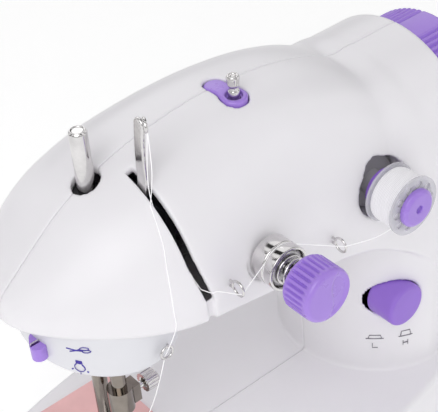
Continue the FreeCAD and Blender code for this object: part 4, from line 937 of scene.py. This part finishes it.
def on_front(x, z, out=0.3):
    """Point of the arm's front at (x, z), moved out by a little more than the thread's thickness."""
    rim, fullness = along("rim", x), along("fullness", x)
    share = 1 - ((z - rim) / (along("ridge", x) - rim)) ** fullness
    return x, -along("front", x) * share ** (1 / fullness) - out, z


def thread_run(name, points, node=None):
    """A run of thread; without a node it is left free, to bend between two bodies."""
    return tube(name, smooth_path(points, 6), THREAD_R, GLOWING_STRAND, node, sides=8)


def make_thread():
    """From the front bobbin through guides, tension discs, take-up lever and ring guide to the needle."""
    guides_front = span("wire_guides")[0].y
    right = (5.6, guides_front + 4.2, 139.4)
    left = (-38.0, guides_front + 1.2, 149.0)
    bobbin = (SPINDLE_X - 1.5, -41.5, SPINDLE_Z - 9.35)
    thread_run("thread_from_bobbin", [bobbin, (18.0, -41.2, 136.2), right], "wire_guides")

    groove_y, groove_r = TENSION_SEAT_Y - DISC_GAP, DISC_R - 0.4
    first, turn, steps = radians(75), radians(430), 90
    wrap = [(TENSION_X + groove_r * cos(a), groove_y, TENSION_Z + groove_r * sin(a))
            for a in [first + turn * i / steps for i in range(steps + 1)]]
    tube("thread_at_discs", [right] + wrap + [left], THREAD_R, GLOWING_STRAND, "wire_guides", sides=8)

    eyelet = (LEVER_X, EYELET_Y - 0.9, EYELET_Z - 0.7)
    slot_foot = on_front(-46.9, 152.0, -1.6)
    into_slot = [left, on_front(-42.5, 150.0), on_front(-44.8, 150.8), slot_foot]
    thread_run("thread_into_slot", into_slot, "wire_guides")
    rise = [slot_foot, (-48.9, -27.0, 164.0), (-48.9, -19.0, 178.0), eyelet]
    up = thread_run("thread_to_lever", rise)
    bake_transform(up, BODY, LEVER_BODY, mm(*slot_foot), mm(*eyelet))

    ring_low, ring_high = span("ring_guide")
    ring = ((ring_low.x + ring_high.x) / 2 - 0.4, ring_low.y + 1.0, ring_low.z + 1.0)
    hang = [on_front(x, z) for x, z in ((-50.0, 175.4), (-52.6, 168.0), (-54.8, 161.5), (-56.8, 149.5),
                                        (-57.3, 143.2))]
    down = thread_run("thread_from_lever", [eyelet, (-48.8, -21.4, 187.0), hang[0]])
    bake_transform(down, LEVER_BODY, BODY, mm(*eyelet), mm(*hang[0]))
    thread_run("thread_down_front", hang + [ring], "ring_guide")

    needle = centre("needle")
    eye = (needle.x, needle.y - 0.9, span("needle")[0].z + 5.0)
    last_run = thread_run("thread_to_needle", [ring, (ring[0] - 1.2, ring[1] + 9.0, 104.0), eye])
    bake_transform(last_run, BODY, NEEDLE_BODY, mm(*ring), mm(*eye))


# ---- softened edges on the pieces shown as they come from the CAD ----
SOFT_NODES = ("needle_clamp", "clamp_screw", "presser_bar", "presser_foot", "cutter_holder",
              "cutter_blade", "needle_plate", "slide_plate", "power_button", "top_bobbin",
              "presser_lifter", "bottom_plate", "battery_door", "needle_bar", "lamp")


def soften_edges():
    """A fine bevel, so that hard CAD edges catch the light."""
    for node in SOFT_NODES:
        edges = frame["nodes"][node].modifiers.new("softened_edges", "BEVEL")
        edges.width = 0.0002
        edges.segments = 2
        edges.limit_method = "ANGLE"
        edges.angle_limit = radians(40)
        edges.use_clamp_overlap = True


# ---- printed marks ----
SKIRT_MARK_ANGLE, SKIRT_MARK_Z, SKIRT_MARK_R = radians(-143.0), 129.2, 26.0
COLUMN_MARK_X, COLUMN_MARK_Z = 39.0, 66.0
SCISSORS_LINE, LAMP_LINE, SPEED_LINE = 0.24, 0.26, 0.28


def on_skirt(u, v):
    """Point on the skirt: u millimetres round from the middle of the marks, v up from their base."""
    return skirt_point(SKIRT_MARK_ANGLE + u / SKIRT_MARK_R, SKIRT_MARK_Z + v, 0.06)


def on_column(u, v):
    """Point on the column's round side, u to the right of the marks' middle and v up from their base."""
    x = COLUMN_MARK_X + u
    return Vector((x, -sqrt(COLUMN_R ** 2 - (x - COLUMN_X) ** 2) - 0.05, COLUMN_MARK_Z + v))


def mark(name, strokes, place, radius, material, node):
    """One flat ribbon for each stroke; place turns a stroke's (u, v) points into layout points."""
    for i, stroke in enumerate(strokes):
        tube(f"{name}_{i}", [place(u, v) for u, v in stroke], radius, material, node, sides=6, flat=0.5)


def circle(u, v, r, start=0.0, end=2 * pi, flat=1.0, steps=18):
    """Points round a circle, or an oval if flat < 1, that leans with the scissors."""
    points = []
    for i in range(steps + 1):
        angle = start + (end - start) * i / steps
        across = r * cos(angle)
        points.append((u + across, v + r * flat * sin(angle) + (1 - flat) * 0.3 * across))
    return points


def make_skirt_marks():
    """Scissors beside the thread cutter, and a lamp with rays."""
    blades = [[(-3.2, 8.9), (0.0, 8.9), (1.9, 9.1)], [(-2.2, 7.9), (0.0, 8.9), (1.1, 9.7)]]
    handles = [circle(2.4, 10.0, 1.4, flat=0.4), circle(3.0, 9.1, 1.3, flat=0.4)]
    mark("scissors_mark", blades + handles, on_skirt, SCISSORS_LINE, INK_BLUE, "head_skirt")
    bulb = circle(0, 1.9, 1.6, radians(125), radians(415))
    cap = [(-0.9, 3.2), (-0.9, 4.6), (0.9, 4.6), (0.9, 3.2)]
    cap_lines = [[(-0.9, v), (0.9, v)] for v in (3.7, 4.15)]
    rays = [[(-2.6, 0.6), (-2.1, 0.9)], [(2.6, 0.6), (2.1, 0.9)], [(0, -0.7), (0, -0.2)]]
    mark("lamp_mark", [bulb, cap] + cap_lines + rays, on_skirt, LAMP_LINE, INK_BLUE, "head_skirt")


def make_speed_marks():
    """Low and high speed: a pressed and a raised button above an L and an H."""
    half, foot = 2.3, 5.6
    letters = {"L": [[(-0.7, 3.3), (-0.7, 1.2), (0.7, 1.2)]],
               "H": [[(-0.8, 3.3), (-0.8, 1.2)], [(0.8, 3.3), (0.8, 1.2)], [(-0.8, 2.25), (0.8, 2.25)]]}
    for name, middle, tall, letter in (("low_mark", -5.6, 1.6, "L"), ("high_mark", 3.4, 2.4, "H")):
        button = [(-half, foot), (-half * 0.75, foot), (-half * 0.62, foot + tall),
                  (half * 0.62, foot + tall), (half * 0.75, foot), (half, foot)]
        base = [(-half * 0.75, foot), (half * 0.75, foot)]
        strokes = [[(middle + u, v) for u, v in stroke] for stroke in [button, base] + letters[letter]]
        mark(name, strokes, on_column, SPEED_LINE, INK, "front_shell")


make_handwheel()
make_knob()
make_tension_discs()
make_winder_seat()
make_winder_spindle()
make_spool_pin()
make_speed_button()
make_take_up()
make_skirt()
make_bobbin_cap()
make_thread_roll()
make_presser_spring()
make_thread()
make_skirt_marks()
make_speed_marks()
soften_edges()


# ---- stage, light and camera ----
WORLD_STRENGTH, FLOOR_GLOW = 0.6, 0.22
TURN, TILT, ROLL = radians(-36.78), radians(37.97), radians(-5.26)
CAMERA_PLACE = (-207.33, -262.72, 398.20)
LENS, SENSOR = 106.8, 36.0


def add_floor():
    mesh = bpy.data.meshes.new("floor")
    size = 6.0
    corners = [(-size, -size, 0), (size, -size, 0), (size, size, 0), (-size, size, 0)]
    mesh.from_pydata(corners, [], [(0, 1, 2, 3)])
    floor = bpy.data.objects.new("floor", mesh)
    bpy.context.scene.collection.objects.link(floor)
    pale = plastic("floor_pale", (250, 250, 250), 0.99, (0.8, 0.9), 0.0)
    glow = pale.node_tree.nodes["Principled BSDF"]
    glow.inputs["Emission Color"].default_value = (1.0, 1.0, 1.0, 1)
    glow.inputs["Emission Strength"].default_value = FLOOR_GLOW
    mesh.materials.append(pale)


def area_light(name, position, target, size, power):
    light = bpy.data.lights.new(name, "AREA")
    light.shape = "RECTANGLE"
    light.size, light.size_y = size
    light.energy = power
    lamp = bpy.data.objects.new(name, light)
    lamp.location = position
    lamp.rotation_euler = (Vector(target) - Vector(position)).to_track_quat("-Z", "Y").to_euler()
    bpy.context.scene.collection.objects.link(lamp)


def studio_world():
    """Even white surroundings; only reflections see the dark bands that give metal its contrast."""
    world = bpy.data.worlds.new("studio")
    world.use_nodes = True
    tree = world.node_tree
    white = tree.nodes["Background"]
    white.inputs["Color"].default_value = (1.0, 1.0, 1.0, 1)
    white.inputs["Strength"].default_value = WORLD_STRENGTH
    banded = tree.nodes.new("ShaderNodeBackground")
    coordinates = tree.nodes.new("ShaderNodeTexCoord")
    wave = tree.nodes.new("ShaderNodeTexWave")
    wave.bands_direction = "DIAGONAL"
    wave.inputs["Scale"].default_value = 0.9
    wave.inputs["Distortion"].default_value = 3.0
    wave.inputs["Detail"].default_value = 1.0
    ramp = tree.nodes.new("ShaderNodeValToRGB")
    ramp.color_ramp.elements[0].position = 0.30
    ramp.color_ramp.elements[0].color = (0.03, 0.03, 0.03, 1)
    ramp.color_ramp.elements[1].position = 0.52
    ramp.color_ramp.elements[1].color = (1.1, 1.1, 1.1, 1)
    path = tree.nodes.new("ShaderNodeLightPath")
    mix = tree.nodes.new("ShaderNodeMixShader")
    tree.links.new(coordinates.outputs["Generated"], wave.inputs["Vector"])
    tree.links.new(wave.outputs["Fac"], ramp.inputs["Fac"])
    tree.links.new(ramp.outputs["Color"], banded.inputs["Color"])
    tree.links.new(path.outputs["Is Glossy Ray"], mix.inputs["Fac"])
    tree.links.new(white.outputs["Background"], mix.inputs[1])
    tree.links.new(banded.outputs["Background"], mix.inputs[2])
    tree.links.new(mix.outputs["Shader"], tree.nodes["World Output"].inputs["Surface"])
    bpy.context.scene.world = world


def light_scene():
    studio_world()
    middle = (0, 0, 0.12)
    area_light("key", (-0.75, -0.55, 1.05), middle, (0.9, 0.9), 6.4)
    area_light("fill", (0.9, -0.9, 0.7), middle, (0.9, 0.9), 1.0)
    area_light("rim", (0.2, 1.1, 0.9), middle, (1.0, 0.6), 1.0)
    bpy.context.scene.view_settings.view_transform = "Standard"


def add_camera():
    data = bpy.data.cameras.new("camera")
    data.lens = LENS
    data.sensor_width = SENSOR
    data.clip_start = 0.02
    camera = bpy.data.objects.new("camera", data)
    turn = Matrix.Rotation(TURN, 4, "Z") @ Matrix.Rotation(pi / 2 - TILT, 4, "X")
    turn = turn @ Matrix.Rotation(ROLL, 4, "Z")
    camera.matrix_world = Matrix.Translation(mm(*CAMERA_PLACE)) @ turn
    bpy.context.scene.collection.objects.link(camera)
    bpy.context.scene.camera = camera


add_floor()
light_scene()
add_camera()
